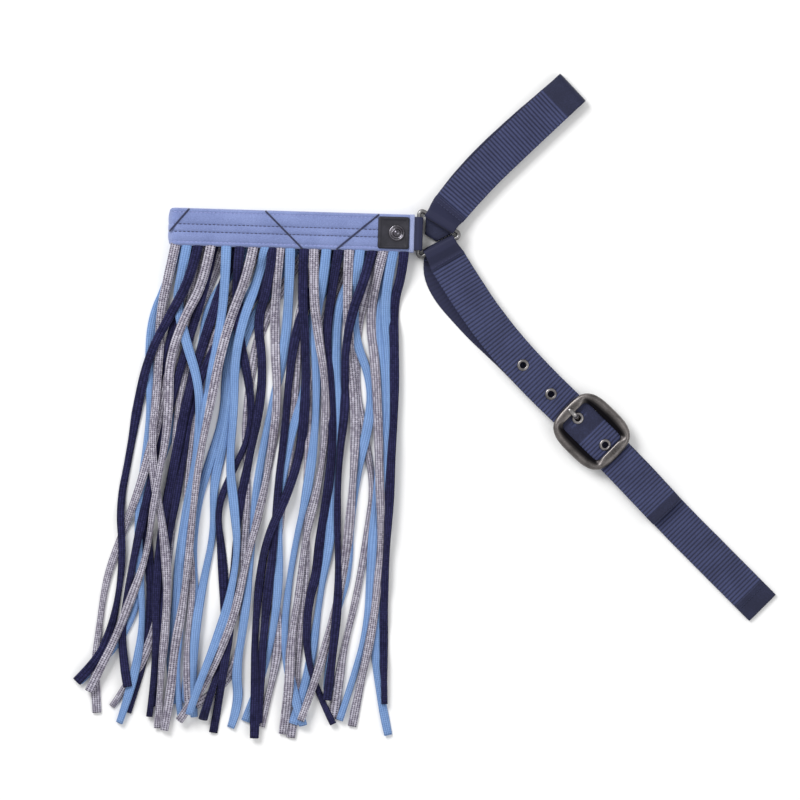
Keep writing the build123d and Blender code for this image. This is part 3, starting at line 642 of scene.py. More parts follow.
def knit_material(name, dark, middle, light, gap_shade, melange):
    """Knitted lace: columns of stitches, with painted shade as a dark dash in the groove beside each stitch,
    and yarn of uneven tone.
    """
    shade = Shader(name, middle, roughness=0.9, specular=0.12)
    along, around = shade.lengthwise()
    column = shade.math("FRACT", shade.math("DIVIDE", around, KNIT_COLUMN))
    slant = shade.math("ABSOLUTE", shade.math("SUBTRACT", column, 0.5))
    stitch = shade.math("ADD", along, shade.math("MULTIPLY", slant, KNIT_COLUMN * 0.35))
    bead = shade.ridge(stitch, KNIT_COURSE)
    groove = shade.ridge(around, KNIT_COLUMN)
    height = shade.math("MULTIPLY", shade.span(bead, 0, 1, 0.45, 1), shade.math("POWER", groove, 0.5))
    # painted shade: strongest in the grooves between stitch columns and between courses
    groove_shade_mask = shade.math("MULTIPLY", shade.span(groove, 0.88, 0.35), shade.span(bead, 0.95, 0.45, 0.12, 1))
    cells = {
        "X": shade.math("FLOOR", shade.math("DIVIDE", stitch, KNIT_COURSE)),
        "Y": shade.math("FLOOR", shade.math("DIVIDE", around, KNIT_COLUMN)),
    }
    cell = shade.add("ShaderNodeCombineXYZ", cells).outputs[0]
    speckle = shade.add("ShaderNodeTexWhiteNoise", {"Vector": cell}, noise_dimensions="2D").outputs[0]
    cloud = shade.noise(60, 3)
    tone = shade.span(speckle, 0, 1, 0.5 - melange, 0.5 + melange)
    tone = shade.vary(tone, cloud, 0.8)
    yarn = shade.blend(tone, middle, light)
    groove_shade = shade.math("MULTIPLY", groove_shade_mask, gap_shade)
    shade.paint(shade.blend(groove_shade, yarn, dark))
    shade.bump(height, 0.0006, 0.9)
    shade.sheen(0.04)
    return shade.material


def metal_material(name, dark, light, roughness, grain=90, recess_shade=None):
    """Plated metal with faint clouding and rubbed highlights, darkened with painted shade where a mark says it
    lies in shade.
    """
    shade = Shader(name, light, metallic=1.0)
    cloud = shade.noise(grain, 4)
    scratches = shade.noise(grain * 12, 2)
    wear = shade.math("ADD", shade.math("MULTIPLY", cloud, 0.7), shade.math("MULTIPLY", scratches, 0.3))
    colour = shade.blend(shade.span(wear, 0.35, 0.65), dark, light)
    # painted shade: blends towards the shade colour where the mark is high
    if recess_shade:
        colour = shade.blend(shade.marked("recess_shade"), colour, recess_shade)
    shade.paint(colour)
    spread = (roughness * 0.8, roughness * 1.25)
    shade.put(shade.surface.inputs["Roughness"], shade.span(wear, 0.35, 0.65, *spread))
    shade.bump(scratches, 0.00005, 0.25)
    return shade.material


def grained_material(name, dark, light):
    """Moulded patch with a fine leather-like grain."""
    shade = Shader(name, light, roughness=0.5, specular=0.3)
    cells = shade.add("ShaderNodeTexVoronoi", {"Scale": 1100, "Vector": shade.place()}).outputs["Distance"]
    cloud = shade.noise(120, 3)
    shade.paint(shade.blend(shade.span(cloud, 0.3, 0.7), dark, light))
    shade.bump(cells, 0.0002, 0.35)
    return shade.material


def thread_material(name, dark, light):
    """Twisted sewing thread."""
    shade = Shader(name, light, roughness=0.6)
    along, around = shade.lengthwise()
    twist = shade.ridge(shade.math("ADD", along, around), 0.35)
    shade.paint(shade.blend(twist, dark, light))
    shade.bump(twist, 0.0001, 0.6)
    return shade.material


# the back colour is darker than the reverse face alone, partly as painted shade
navy_webbing = webbing_material(
    "navy_webbing", (0.014, 0.016, 0.042), (0.062, 0.074, 0.175), (0.022, 0.024, 0.066)
)
band_cloth = cloth_material("band_cloth", (0.110, 0.145, 0.330), (0.310, 0.380, 0.690))
pale_binding = cloth_material("pale_binding", (0.200, 0.240, 0.440), (0.480, 0.540, 0.820))
navy_piping = cloth_material("navy_piping", (0.012, 0.015, 0.045), (0.040, 0.050, 0.130))
navy_thread = thread_material("navy_thread", (0.010, 0.012, 0.040), (0.035, 0.042, 0.110))
blue_thread = thread_material("blue_thread", (0.150, 0.180, 0.380), (0.400, 0.450, 0.780))
# the fourth number of each knit is the strength of its painted groove shade
lace_materials = {
    "grey": knit_material(
        "grey_knit", (0.014, 0.011, 0.028), (0.215, 0.192, 0.257), (0.580, 0.560, 0.650), 1.0, 0.35
    ),
    "blue": knit_material(
        "blue_knit", (0.080, 0.145, 0.340), (0.155, 0.272, 0.540), (0.255, 0.400, 0.690), 0.6, 0.15
    ),
    "navy": knit_material(
        "navy_knit", (0.002, 0.002, 0.008), (0.007, 0.007, 0.032), (0.034, 0.034, 0.110), 0.85, 0.25
    ),
}
ring_metal = metal_material("ring_metal", (0.085, 0.085, 0.085), (0.25, 0.245, 0.25), 0.28)
gunmetal = metal_material("gunmetal", (0.060, 0.055, 0.058), (0.180, 0.165, 0.170), 0.30)
# its third colour is painted shade, for the inner slopes of the side rails
frame_metal = metal_material(
    "frame_metal", (0.085, 0.078, 0.076), (0.230, 0.210, 0.205), 0.34, recess_shade=(0.010, 0.009, 0.011)
)
prong_metal = metal_material("prong_metal", (0.190, 0.180, 0.180), (0.520, 0.500, 0.500), 0.25)
eyelet_metal = metal_material("eyelet_metal", (0.11, 0.105, 0.11), (0.34, 0.32, 0.32), 0.28)
stud_metal = metal_material("stud_metal", (0.06, 0.055, 0.07), (0.26, 0.25, 0.28), 0.18)
badge_black = grained_material("badge_black", (0.009, 0.009, 0.015), (0.027, 0.026, 0.037))


# ---------------- camera, floor and light ----------------
def add_camera():
    """A camera that looks straight down."""
    data = bpy.data.cameras.new("camera")
    data.sensor_width = SENSOR
    data.lens = SENSOR * CAMERA_HEIGHT / VIEW_SIDE
    camera = bpy.data.objects.new("camera", data)
    camera.location = (*VIEW_CENTRE, CAMERA_HEIGHT)
    bpy.context.scene.collection.objects.link(camera)
    bpy.context.scene.camera = camera


def add_floor():
    """A plain pale floor."""
    mesh = bpy.data.meshes.new("floor")
    corners = [(x * FLOOR_REACH, y * FLOOR_REACH, 0) for x, y in ((-1, -1), (1, -1), (1, 1), (-1, 1))]
    mesh.from_pydata(corners, [], [(0, 1, 2, 3)])
    floor = bpy.data.objects.new("floor", mesh)
    mesh.materials.append(Shader("floor", (0.93, 0.93, 0.93), roughness=0.9).material)
    bpy.context.scene.collection.objects.link(floor)


def add_light(name, place, side, power):
    """A square soft light, aimed at the middle of the view."""
    data = bpy.data.lights.new(name, "AREA")
    data.size = side
    data.energy = power
    light = bpy.data.objects.new(name, data)
    light.location = place
    aim = Vector((*VIEW_CENTRE, 0)) - light.location
    light.rotation_euler = aim.to_track_quat("-Z", "Y").to_euler()
    bpy.context.scene.collection.objects.link(light)


def set_stage():
    """The camera, the floor, a white sky and soft light from the upper left."""
    scene = bpy.context.scene
    scene.view_settings.view_transform = "Standard"
    add_camera()
    add_floor()
    world = bpy.data.worlds.new("world")
    world.use_nodes = True
    background = world.node_tree.nodes["Background"]
    background.inputs[0].default_value = (1, 1, 1, 1)
    background.inputs[1].default_value = SKY_STRENGTH
    scene.world = world
    for light in LIGHTS:
        add_light(*light)


# ---------------- fringe ----------------
class Pile:
    """The height of what lies on the floor, on a grid, so that each lace lies on those before it."""

    def __init__(self, low, high, cell=0.001):
        self.low = np.array(low)
        self.cell = cell
        self.tops = np.zeros(np.ceil((np.array(high) - low) / cell).astype(int))

    def around(self, point, radius):
        """The cells within a radius of a point, as a pair of index lists."""
        steps = np.arange(-int(radius / self.cell) - 1, int(radius / self.cell) + 2)
        dx, dy = np.meshgrid(steps, steps, indexing="ij")
        inside = (dx**2 + dy**2) * self.cell**2 <= radius**2
        x, y = ((point - self.low) / self.cell).astype(int)
        return x + dx[inside], y + dy[inside]

    def support(self, points, radius):
        """The highest top under a round foot at each point."""
        return np.array([self.tops[self.around(point, radius)].max() for point in points])

    def cover(self, points, tops, radius):
        """Raises the pile under a lace."""
        for point, top in zip(points, tops):
            cells = self.around(point, radius)
            self.tops[cells] = np.maximum(self.tops[cells], top)


def eased(values, reach):
    """Spreads each high point over its neighbours, then rounds it off."""
    padded = np.pad(values, 2 * reach, mode="edge")
    highest = np.max([np.roll(padded, shift) for shift in range(-reach, reach + 1)], axis=0)
    weights = np.hanning(2 * reach + 3)[1:-1]
    smooth = np.convolve(highest, weights / weights.sum(), mode="same")
    return smooth[2 * reach:-2 * reach]


def lace_rings(centres, along, seed):
    """The lace's sections: flat, rolling a little, and curling to a rounder form towards its end."""
    drift = wander(along, DRIFT_RATE, seed * 7.3, 0)
    swell = wander(along, SWELL_RATE, seed * 3.1, 5)
    level = unit(np.gradient(centres[:, :2], axis=0))
    sideways = np.stack((-level[:, 1], level[:, 0], np.zeros(len(level))), axis=1)
    _, upright = frames_along(centres, -sideways)
    roll = (drift * LACE_ROLL * smoothstep(along / LACE_ROLL_START))[:, None]
    across = unit(sideways * np.cos(roll) + upright * np.sin(roll))
    _, upright = frames_along(centres, -across)
    side, up = section(LACE_WIDTH / 2, LACE_THICKNESS / 2, 16, 2.2)
    onset = smoothstep((along - LACE_CURL_START) / LACE_CURL_LENGTH)
    curl = np.clip((LACE_CURL + LACE_CURL_SWING * swell) * onset, 0, 1)[:, None, None]
    rings = (
        centres[:, None] + across[:, None] * side[None, :, None] * (1 - CURL_NARROWING * curl)
        + upright[:, None] * up[None, :, None] * (1 + CURL_THICKENING * curl)
    )
    rings[:, :, 2] = np.maximum(rings[:, :, 2], 0.0001)
    return rings


def lace(name, colour, route, start_z, pile, seed):
    """A flat knitted lace, sewn into the band at start_z and laid over what is already on the pile."""
    centres, along = resample(smooth_route(route), LACE_STEP)
    plan = centres[:, :2]
    support = pile.support(plan, LACE_WIDTH * LACE_FOOT)
    lying = eased(support, LACE_EASE) + LACE_THICKNESS * LACE_REST
    hanging = 1 - smoothstep((along - LACE_SEWN) / LACE_DROP)
    centres[:, 2] = lying + (start_z - lying[0]) * hanging
    pile.cover(plan, centres[:, 2] + LACE_THICKNESS * LACE_TOP, LACE_WIDTH * LACE_FOOTPRINT)
    rings = lace_rings(centres, along, seed)
    piece = skin(name + "_knit", rings, along, lace_materials[colour], "browband")
    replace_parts(piece, name)


def fringe():
    """All the laces, from the lowest layer of the far half to the top layer of the near half."""
    pile = Pile((-0.36, -0.35), (-0.02, 0.12))
    halves = (("far", FAR_LACES, FAR_Z), ("near", NEAR_LACES, NEAR_Z))
    for half, laces, start_z in halves:
        numbered = sorted(enumerate(laces, 1), key=lambda item: item[1][1])
        for number, (colour, _, route) in numbered:
            seed = number + (40 if half == "near" else 0)
            lace(f"{half}_lace_{number:02d}", colour, route, start_z, pile, seed)


# ---------------- browband ----------------
BAND_BAR = bar_centre(BAND_HEADING)
BAND_ALONG = direction(BAND_HEADING)
BAND_UP = np.array((-BAND_ALONG[1], BAND_ALONG[0])) * -1


def band_thickness(along, across, quilted=1.0):
    """Half the padded band's thickness: full between the stitch rows, pulled in along them if quilted."""
    edges = (BAND_HALF_WIDTH, *STITCH_ROWS, -BAND_HALF_WIDTH)
    puff = np.zeros(np.broadcast(along, across).shape)
    for high, low in zip(edges, edges[1:]):
        inside = (across <= high) & (across >= low)
        share = np.clip((high - across) / (high - low), 0, 1)
        fullness = ROW_FULLNESS + (1 - ROW_FULLNESS) * np.sin(math.pi * share) ** 0.7
        puff = np.where(inside, fullness, puff)
    rim = np.sqrt(np.clip(1 - np.abs(across / BAND_HALF_WIDTH) ** 5, 0, 1))
    pucker = np.zeros(puff.shape)
    for row in STITCH_ROWS:
        near_row = np.exp(-(((across - row) / PUCKER_REACH) ** 2))
        pucker += near_row * PUCKER_DEPTH * np.cos(2 * math.pi * along / STITCH_PITCH)
    fullness = UNQUILTED + quilted * (puff + pucker - UNQUILTED)
    return BAND_HALF_THICK * np.clip(rim * fullness + 0.06, 0.06, 1)


def open_end_fullness(distance):
    """Share of the cover's thickness at a distance from its open end."""
    return OPEN_END_FULLNESS + (1 - OPEN_END_FULLNESS) * float(smoothstep(distance / OPEN_END))


def band_outline():
    """Places round the band's section, as heights across it and which face each is on."""
    over = band_courses()
    heights = np.concatenate((over, over[-2:0:-1]))
    faces = np.concatenate((np.ones(len(over)), -np.ones(len(over) - 2)))
    return heights, faces


def band_courses():
    """Places across the band, closest together beside its edges and stitch rows."""
    edges = (-BAND_HALF_WIDTH, *reversed(STITCH_ROWS), BAND_HALF_WIDTH)
    courses = [-BAND_HALF_WIDTH]
    for low, high in zip(edges, edges[1:]):
        shares = (1 - np.cos(np.linspace(0, math.pi, 9)[1:])) / 2
        courses += list(low + (high - low) * shares)
    return np.array(courses)


def band_path():
    """The band's middle line, from the near ring round the fold to the far ring, with its normals."""
    bend = (NEAR_Z - FAR_Z) / 2
    turn = BAND_LENGTH - BAND_HALF_THICK - bend
    straight = np.arange(BAND_START, turn, BAND_STEP)
    angles = np.linspace(math.pi / 2, -math.pi / 2, 15)
    middle = (NEAR_Z + FAR_Z) / 2
    out = [(x, NEAR_Z, 0, 1) for x in straight]
    out += [
        (turn + bend * math.cos(a), middle + bend * math.sin(a), math.cos(a), math.sin(a))
        for a in angles
    ]
    out += [(x, FAR_Z, 0, -1) for x in reversed(straight)]
    return np.array(out)


def on_band(x, z, v):
    """The point that far along the band, at that height, and that far up across it."""
    plan = BAND_BAR + BAND_ALONG * x + BAND_UP * v
    return np.array((plan[0], plan[1], z))


def band_cover():
    """The padded, quilted cover, folded at its middle."""
    path = band_path()
    heights, faces = band_outline()
    distance = np.concatenate(([0], np.cumsum(np.hypot(*np.diff(path[:, :2], axis=0).T))))
    rings = []
    for (x, z, nx, nz), s in zip(path, distance):
        turning = abs(nx)
        thick = band_thickness(np.full(heights.shape, s), heights, 1 - 0.8 * turning)
        thick *= open_end_fullness(min(s, distance[-1] - s))
        inward = np.where(faces > 0, 1, 1 - 0.72 * turning)
        offset = faces * thick * inward
        rings.append([on_band(x + nx * o, z + nz * o, v) for o, v in zip(offset, heights)])
    piece = skin("band_cover_cloth", rings, distance, band_cloth, "browband")
    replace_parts(piece, "band_cover", "band_padding")


def binding():
    """A strip of paler cloth over the band's open end, on each half."""
    heights, faces = band_outline()
    heights = heights * 1.01
    rim = np.sqrt(np.clip(1 - np.abs(heights / (BAND_HALF_WIDTH * 1.02)) ** 6, 0.02, 1))
    distances = np.linspace(BAND_START - 0.0003, BAND_START + BINDING_LENGTH, 14)
    for half, middle in (("near", NEAR_Z), ("far", FAR_Z)):
        rings = []
        for x in distances:
            edge = min(x - distances[0], distances[-1] - x)
            thick = BAND_HALF_THICK * (0.78 + 0.16 * float(smoothstep(edge / 0.0008)))
            rings.append([on_band(x, middle + o * thick * r, v) for o, r, v in zip(faces, rim, heights)])
        piece = skin(f"{half}_binding", rings, distances, pale_binding, "browband")
        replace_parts(piece, "band_cover")


def band_point(along, across, lift=0.0, half="near"):
    """A point on the band's outer face, raised by lift."""
    thick = float(band_thickness(np.array(along), np.array(across)))
    rise = thick * open_end_fullness(along - BAND_START) + lift
    z = NEAR_Z + rise if half == "near" else FAR_Z - rise
    return on_band(along, z, across)


def stitches(name, points, normals, material, body, pitch, length, radius):
    """A row of separate stitches along a line on a surface, each sunk at its ends."""
    line, along = resample(points, pitch / 8)
    lift = np.stack([np.interp(along, np.linspace(0, along[-1], len(points)), n) for n in normals.T], 1)
    vertices, faces, uvs = [], [], []
    steps = np.linspace(0, 1, 6)
    thin = np.array((0.45, 0.9, 1, 1, 0.9, 0.45)) * radius
    sides = 6
    for start in np.arange(pitch * 0.2, along[-1] - length, pitch):
        spots = start + steps * length
        centres = np.stack([np.interp(spots, along, column) for column in line.T], 1)
        raised = unit(np.stack([np.interp(spots, along, column) for column in lift.T], 1))
        centres = centres + raised * (radius * (STITCH_ARCH * np.sin(math.pi * steps) - STITCH_SINK))[:, None]
        tangent = unit(np.gradient(centres, axis=0))
        sideways = unit(np.cross(tangent, raised))
        first = len(vertices)
        for centre, r, s, n in zip(centres, thin, sideways, raised):
            for side in range(sides):
                angle = 2 * math.pi * side / sides
                vertices.append(centre + r * (math.cos(angle) * s + math.sin(angle) * n))
        faces += tube_faces(len(steps), sides, first)
        uvs += tube_uvs(spots, np.linspace(0, 2 * math.pi * radius, sides + 1))
    return add_piece(name, vertices, faces, uvs, material, body)


def band_stitching():
    """Four rows of stitches along each outer face of the band."""
    materials = (blue_thread, navy_thread, navy_thread, blue_thread)
    for half, normal in (("near", 1), ("far", -1)):
        for number, (row, material) in enumerate(zip(STITCH_ROWS, materials), 1):
            places = np.linspace(BAND_START + 0.006, BAND_LENGTH - 0.004, 240)
            points = np.array([band_point(x, row, 0, half) for x in places])
            normals = np.tile((0.0, 0.0, normal), (len(points), 1))
            stitches(
                f"{half}_band_stitches_{number}", points, normals, material, "browband",
                STITCH_PITCH, STITCH_PITCH * STITCH_SHARE, BAND_THREAD,
            )


def piping():
    """Three thin cords sewn slantwise over the near half."""
    for number, ends in enumerate(PIPING, 1):
        first, last = np.array(ends)
        shares = np.linspace(0, 1, 90)
        centres = np.array([band_point(*(first + (last - first) * share), 0.0002) for share in shares])
        tangents, _ = frames_along(centres, np.tile((0.0, 0.0, 1.0), (len(centres), 1)))
        sideways = unit(np.cross(tangents, (0, 0, 1)))
        up = unit(np.cross(sideways, tangents))
        side, rise = section(PIPING_RADIUS, PIPING_RADIUS, 10, 2)
        rings = centres[:, None] + sideways[:, None] * side[None, :, None] + up[:, None] * rise[None, :, None]
        along = shares * np.linalg.norm(centres[-1] - centres[0])
        piece = skin(f"piping_cord_{number}", rings, along, navy_piping, "browband")
        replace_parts(piece, "diagonal_piping")


# ---------------- webbing ----------------
def rounded(points, radius, steps=9):
    """A line with its corners rounded by arcs of up to that radius."""
    points = [np.array(point, dtype=float) for point in points]
    line = [points[0]]
    for before, corner, after in zip(points, points[1:], points[2:]):
        back, ahead = unit(before - corner), unit(after - corner)
        half_turn = (math.pi - math.acos(np.clip(np.dot(back, ahead), -1, 1))) / 2
        room = 0.49 * min(np.linalg.norm(before - corner), np.linalg.norm(after - corner))
        cut = min(radius * math.tan(half_turn), room)
        for t in np.linspace(0, 1, steps):
            edge = (1 - t) ** 2 * (corner + back * cut) + 2 * t * (1 - t) * corner
            line.append(edge + t**2 * (corner + ahead * cut))
    line.append(points[-1])
    return np.array(line)


class StrapPlan:
    """A strap's course seen from above, by distance from the ring's bar."""

    def __init__(self, heading, route):
        start = bar_centre(heading)
        square = [start + direction(heading) * STRAIGHT * share for share in (0, 0.5, 1)]
        self.line, self.along = resample(smooth_route([*square, *route])[:, :2], 0.001)
        self.ways = unit(np.gradient(self.line, axis=0))

    def nearest(self, point):
        """The distance along at which the strap passes nearest to a point."""
        return self.along[np.argmin(np.linalg.norm(self.line - point, axis=1))]

    def at(self, distance):
        """The centre and the direction at a distance, straight on past either end."""
        inside = np.clip(distance, 0, self.along[-1])
        centre = np.array([np.interp(inside, self.along, column) for column in self.line.T])
        way = unit(np.array([np.interp(inside, self.along, column) for column in self.ways.T]))
        return centre + way * (distance - inside), way


def ribbon(name, legs, body, plain, face_in=False):
    """Webbing along legs, each a plan, a side view of (distance, height) points and its widths.

    Its ribbed face is up where the legs run outwards, or under if face_in, and its ribs are flattened
    over each plain stretch of distances, which the material also darkens as painted shade.
    """
    centres, across, widths, pressed_and_shaded = [], [], [], []
    for plan, side_view, width_at in legs:
        for distance, height in resample(side_view, RIB_PITCH / 6)[0]:
            centre, way = plan.at(distance)
            centres.append((*centre, height))
            across.append((-way[1], way[0], 0))
            widths.append(width_at(distance))
            pressed_and_shaded.append(any(low < distance < high for low, high in plain))
    centres, across, widths, pressed_and_shaded = (np.array(rows) for rows in (centres, across, widths, pressed_and_shaded))
    steps = np.concatenate(([1], np.linalg.norm(np.diff(centres, axis=0), axis=1)))
    keep = steps > 1e-5
    centres, across, widths, pressed_and_shaded = centres[keep], across[keep], widths[keep], pressed_and_shaded[keep]
    steps = np.linalg.norm(np.diff(centres, axis=0), axis=1)
    along = np.concatenate(([0], np.cumsum(steps)))
    _, normals = frames_along(centres, across)
    rib = np.abs(np.sin(math.pi * along / RIB_PITCH)) ** 0.8
    rib = np.where(pressed_and_shaded, PRESSED_RIB_AND_SHADE, rib)
    side, up = section(0.5, WEBBING / 2, 18, 5)
    unevenness = wander(along, 55, 0, 3)
    side = side[None, :, None] * (widths + 0.0003 * unevenness + 0.0002 * rib)[:, None, None]
    thin = np.where(up[None, :] > 0, (0.66 + 0.34 * rib)[:, None], BACK_THINNESS)
    up = (up[None, :] * thin)[:, :, None]
    if face_in:
        normals, across = -normals, -across
    rings = centres[:, None] + across[:, None] * side + normals[:, None] * up
    piece = skin(name, rings, along, navy_webbing, body, face_below=0.5)
    mark(piece, "pressed_and_shaded", np.repeat(pressed_and_shaded, rings.shape[1]))
    return piece


def gathered(distance):
    """The webbing's width: gathered at the ring, full further on."""
    return BAR_WIDTH + (WIDTH - BAR_WIDTH) * float(smoothstep((distance - GATHER_START) / GATHER_LENGTH))


def squeezed(distance):
    """The same for the far crown loop, which narrows as it hangs into the ring's window."""
    return min(gathered(distance), WINDOW_WIDTH + distance * WINDOW_TAPER)


def ring_loop(bar_z, sewn_to, reach=BAR_TURN):
    """Side view of webbing from its sewn end, round a ring's bar, to the strap's own layer."""
    low, high = bar_z - BAR_TURN, bar_z + BAR_TURN
    points = [
        (sewn_to, low + WEBBING), (0.0095, low + WEBBING), (0.0035, high - 0.0003),
        (-reach, high), (-reach, low), (0.004, low),
    ]
    return rounded(points, LOOP_BEND)


def crown_strap():
    """One strap from the near ring up to its fold and back down to the far ring."""
    near_plan = StrapPlan(CROWN_HEADING, CROWN_ROUTE)
    far_plan = StrapPlan(CROWN_HEADING, FAR_CROWN_ROUTE)
    near, far = NEAR_Z - BAR_TURN, FAR_Z - BAR_TURN
    end = near_plan.along[-1]
    bend = (near - far) / 2
    angles = np.linspace(math.pi / 2, -math.pi / 2, 25)
    fold = [(end + bend * math.cos(a), (near + far) / 2 + bend * math.sin(a)) for a in angles]
    back = np.vstack(([(far_plan.along[-1], far)], ring_loop(FAR_Z, SEWN_TO, FAR_CROWN_REACH)[::-1]))
    near_leg = np.vstack((ring_loop(NEAR_Z, SEWN_TO), fold))
    legs = [(near_plan, near_leg, gathered), (far_plan, back, squeezed)]
    # the flat stretches at the ring and at the fold come out darker, partly as painted shade
    plain = ((-math.inf, RING_PLAIN), (end - FUSED, math.inf))
    piece = ribbon("crown_webbing", legs, "crown_strap", plain)
    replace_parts(piece, "crown_strap")
    rows = ((0.0105, NEAR_Z + 0.0020), (0.0135, near + WEBBING * 1.5))
    for number, (distance, height) in enumerate(rows, 1):
        cross_stitches(f"crown_stitches_{number}", near_plan, distance, height, "crown_strap", 0.013)


def cross_stitches(name, plan, distance, height, body, half_width):
    """A row of stitches across a strap."""
    centre, way = plan.at(distance)
    side = np.array((-way[1], way[0]))
    ends = [(*(centre + side * half_width * s), height) for s in np.linspace(-1, 1, 40)]
    normals = np.tile((0.0, 0.0, 1.0), (len(ends), 1))
    stitches(
        name, np.array(ends), normals, navy_thread, body,
        CROSS_STITCH_PITCH, CROSS_STITCH, CROSS_THREAD,
    )


def punch(piece, centres, radius, height):
    """Cuts round holes straight through a piece."""
    work = bmesh.new()
    for centre in centres:
        place = Matrix.Translation((*centre, height))
        bmesh.ops.create_cone(
            work, cap_ends=True, segments=32, radius1=radius, radius2=radius, depth=0.006, matrix=place
        )
    mesh = bpy.data.meshes.new("punches")
    work.to_mesh(mesh)
    work.free()
    cutter = bpy.data.objects.new("punches", mesh)
    bpy.context.scene.collection.objects.link(cutter)
    cut = piece.modifiers.new("holes", "BOOLEAN")
    cut.operation = "DIFFERENCE"
    cut.object = cutter
    uncut = piece.data
    shaped = piece.evaluated_get(bpy.context.evaluated_depsgraph_get())
    piece.data = bpy.data.meshes.new_from_object(shaped)
    piece.modifiers.clear()
    bpy.data.meshes.remove(uncut)
    bpy.data.objects.remove(cutter)
    bpy.data.meshes.remove(mesh)


def eyelet_half():
    """The throat strap's upper half, from the near ring to its hemmed tip."""
    plan = StrapPlan(THROAT_HEADING, (*THROAT_ROUTE, TIP))
    near = NEAR_Z - BAR_TURN
    end = plan.along[-1]
    hem = end - TIP_HEM
    tip = [(hem, near), (end, near), (end, near - WEBBING), (hem, near - WEBBING)]
    side_view = np.vstack((ring_loop(NEAR_Z, 0.0135), rounded(tip, 0.0007)))
    middle = plan.nearest(BUCKLE_CENTRE)
    # the stretch in the buckle's window is flattened and so darker, partly as painted shade under the frame
    plain = (
        (-math.inf, RING_PLAIN), (middle - FRAME_WINDOW[0], middle), (end - FUSED / 2, math.inf),
    )
    piece = ribbon("eyelet_webbing", [(plan, side_view, gathered)], "throat_strap", plain)
    punch(piece, EYELETS, EYELET_HOLE, near)
    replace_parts(piece, "throat_eyelet_strap")
    cross_stitches("throat_stitches", plan, 0.0120, near + 0.0024, "throat_strap", 0.012)


def buckle_half():
    """The half under it, from the far ring round the buckle's bar to its folded end."""
    plan = StrapPlan(THROAT_HEADING, (*FAR_THROAT_ROUTE, *BELOW_BUCKLE))
    low, carried = FAR_Z - BAR_TURN, 0.0027
    end = plan.along[-1]
    fold = end + 0.00095
    bar = plan.nearest(BUCKLE_CENTRE)
    back = [
        (end, low), (fold, low), (fold, carried), (end, carried), (bar - BAR_WRAP, carried),
        (bar - BAR_WRAP, BAR_Z + BAR_WRAP), (bar + 0.004, BAR_Z + BAR_WRAP),
        (bar + 0.012, carried + WEBBING), (bar + 0.023, carried + WEBBING),
    ]
    side_view = np.vstack((ring_loop(FAR_Z, 0.0125, FAR_THROAT_REACH), rounded(back, 0.0024)))
    plain = ((-math.inf, RING_PLAIN), (end - FUSED, math.inf))
    legs = [(plan, side_view, gathered)]
    piece = ribbon("buckle_webbing", legs, "throat_strap", plain, face_in=True)
    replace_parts(piece, "throat_buckle_strap")
    cross_stitches("end_stitches", plan, end - 0.011, carried + 0.0008, "throat_strap", 0.0135)


def band_loops():
    """The webbing that holds each ring to the end of the band."""
    plan = StrapPlan(BAND_HEADING, [BAND_BAR + BAND_ALONG * 0.05])
    upper = [(0.016, 0.0008), (0.005, 0.0008), (0.0015, BAR_TURN), (-BAR_TURN, BAR_TURN)]
    lower = [(distance, -height) for distance, height in reversed(upper)]
    for half, bar_z in (("near", NEAR_Z), ("far", FAR_Z)):
        points = [(distance, bar_z + height) for distance, height in upper + lower]
        legs = [(plan, rounded(points, LOOP_BEND), lambda _: END_LOOP_WIDTH)]
        piece = ribbon(f"{half}_loop_webbing", legs, "browband", plain=())
        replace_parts(piece, f"{half}_end_loop")


# ---------------- turned and moulded pieces ----------------
def turned(name, centre, base_z, profile, material, body, sides=40):
    """A round piece: its profile of (radius, height) turned about a vertical line."""
    angles = np.linspace(0, 2 * math.pi, sides, endpoint=False)
    rings = [
        [(centre[0] + r * math.cos(a), centre[1] + r * math.sin(a), base_z + h) for r, h in profile]
        for a in angles
    ]
    along = np.linspace(0, 2 * math.pi * max(r for r, _ in profile), sides + 1)
    return skin(name, rings, along, material, body, joined=True)


def eyelets():
    """Rolled metal eyelets: a domed rim on top, a barrel through the webbing and a flat rim under it."""
    top = NEAR_Z - 0.0035 + WEBBING
    profile = [
        (0.0025, -0.0020), (0.0025, 0.0002), (0.0027, 0.00055), (0.0032, 0.00072), (0.0039, 0.00066),
        (0.0045, 0.00035), (0.0048, 0.0), (0.0047, -0.0001), (0.0031, -0.0001), (0.0031, -0.0016),
        (0.0042, -0.0017), (0.0043, -0.0020), (0.0036, -0.0022),
    ]
    for number, centre in enumerate(EYELETS, 1):
        piece = turned(f"eyelet_{number}", centre, top, profile, eyelet_metal, "throat_strap")
        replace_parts(piece, "eyelets")


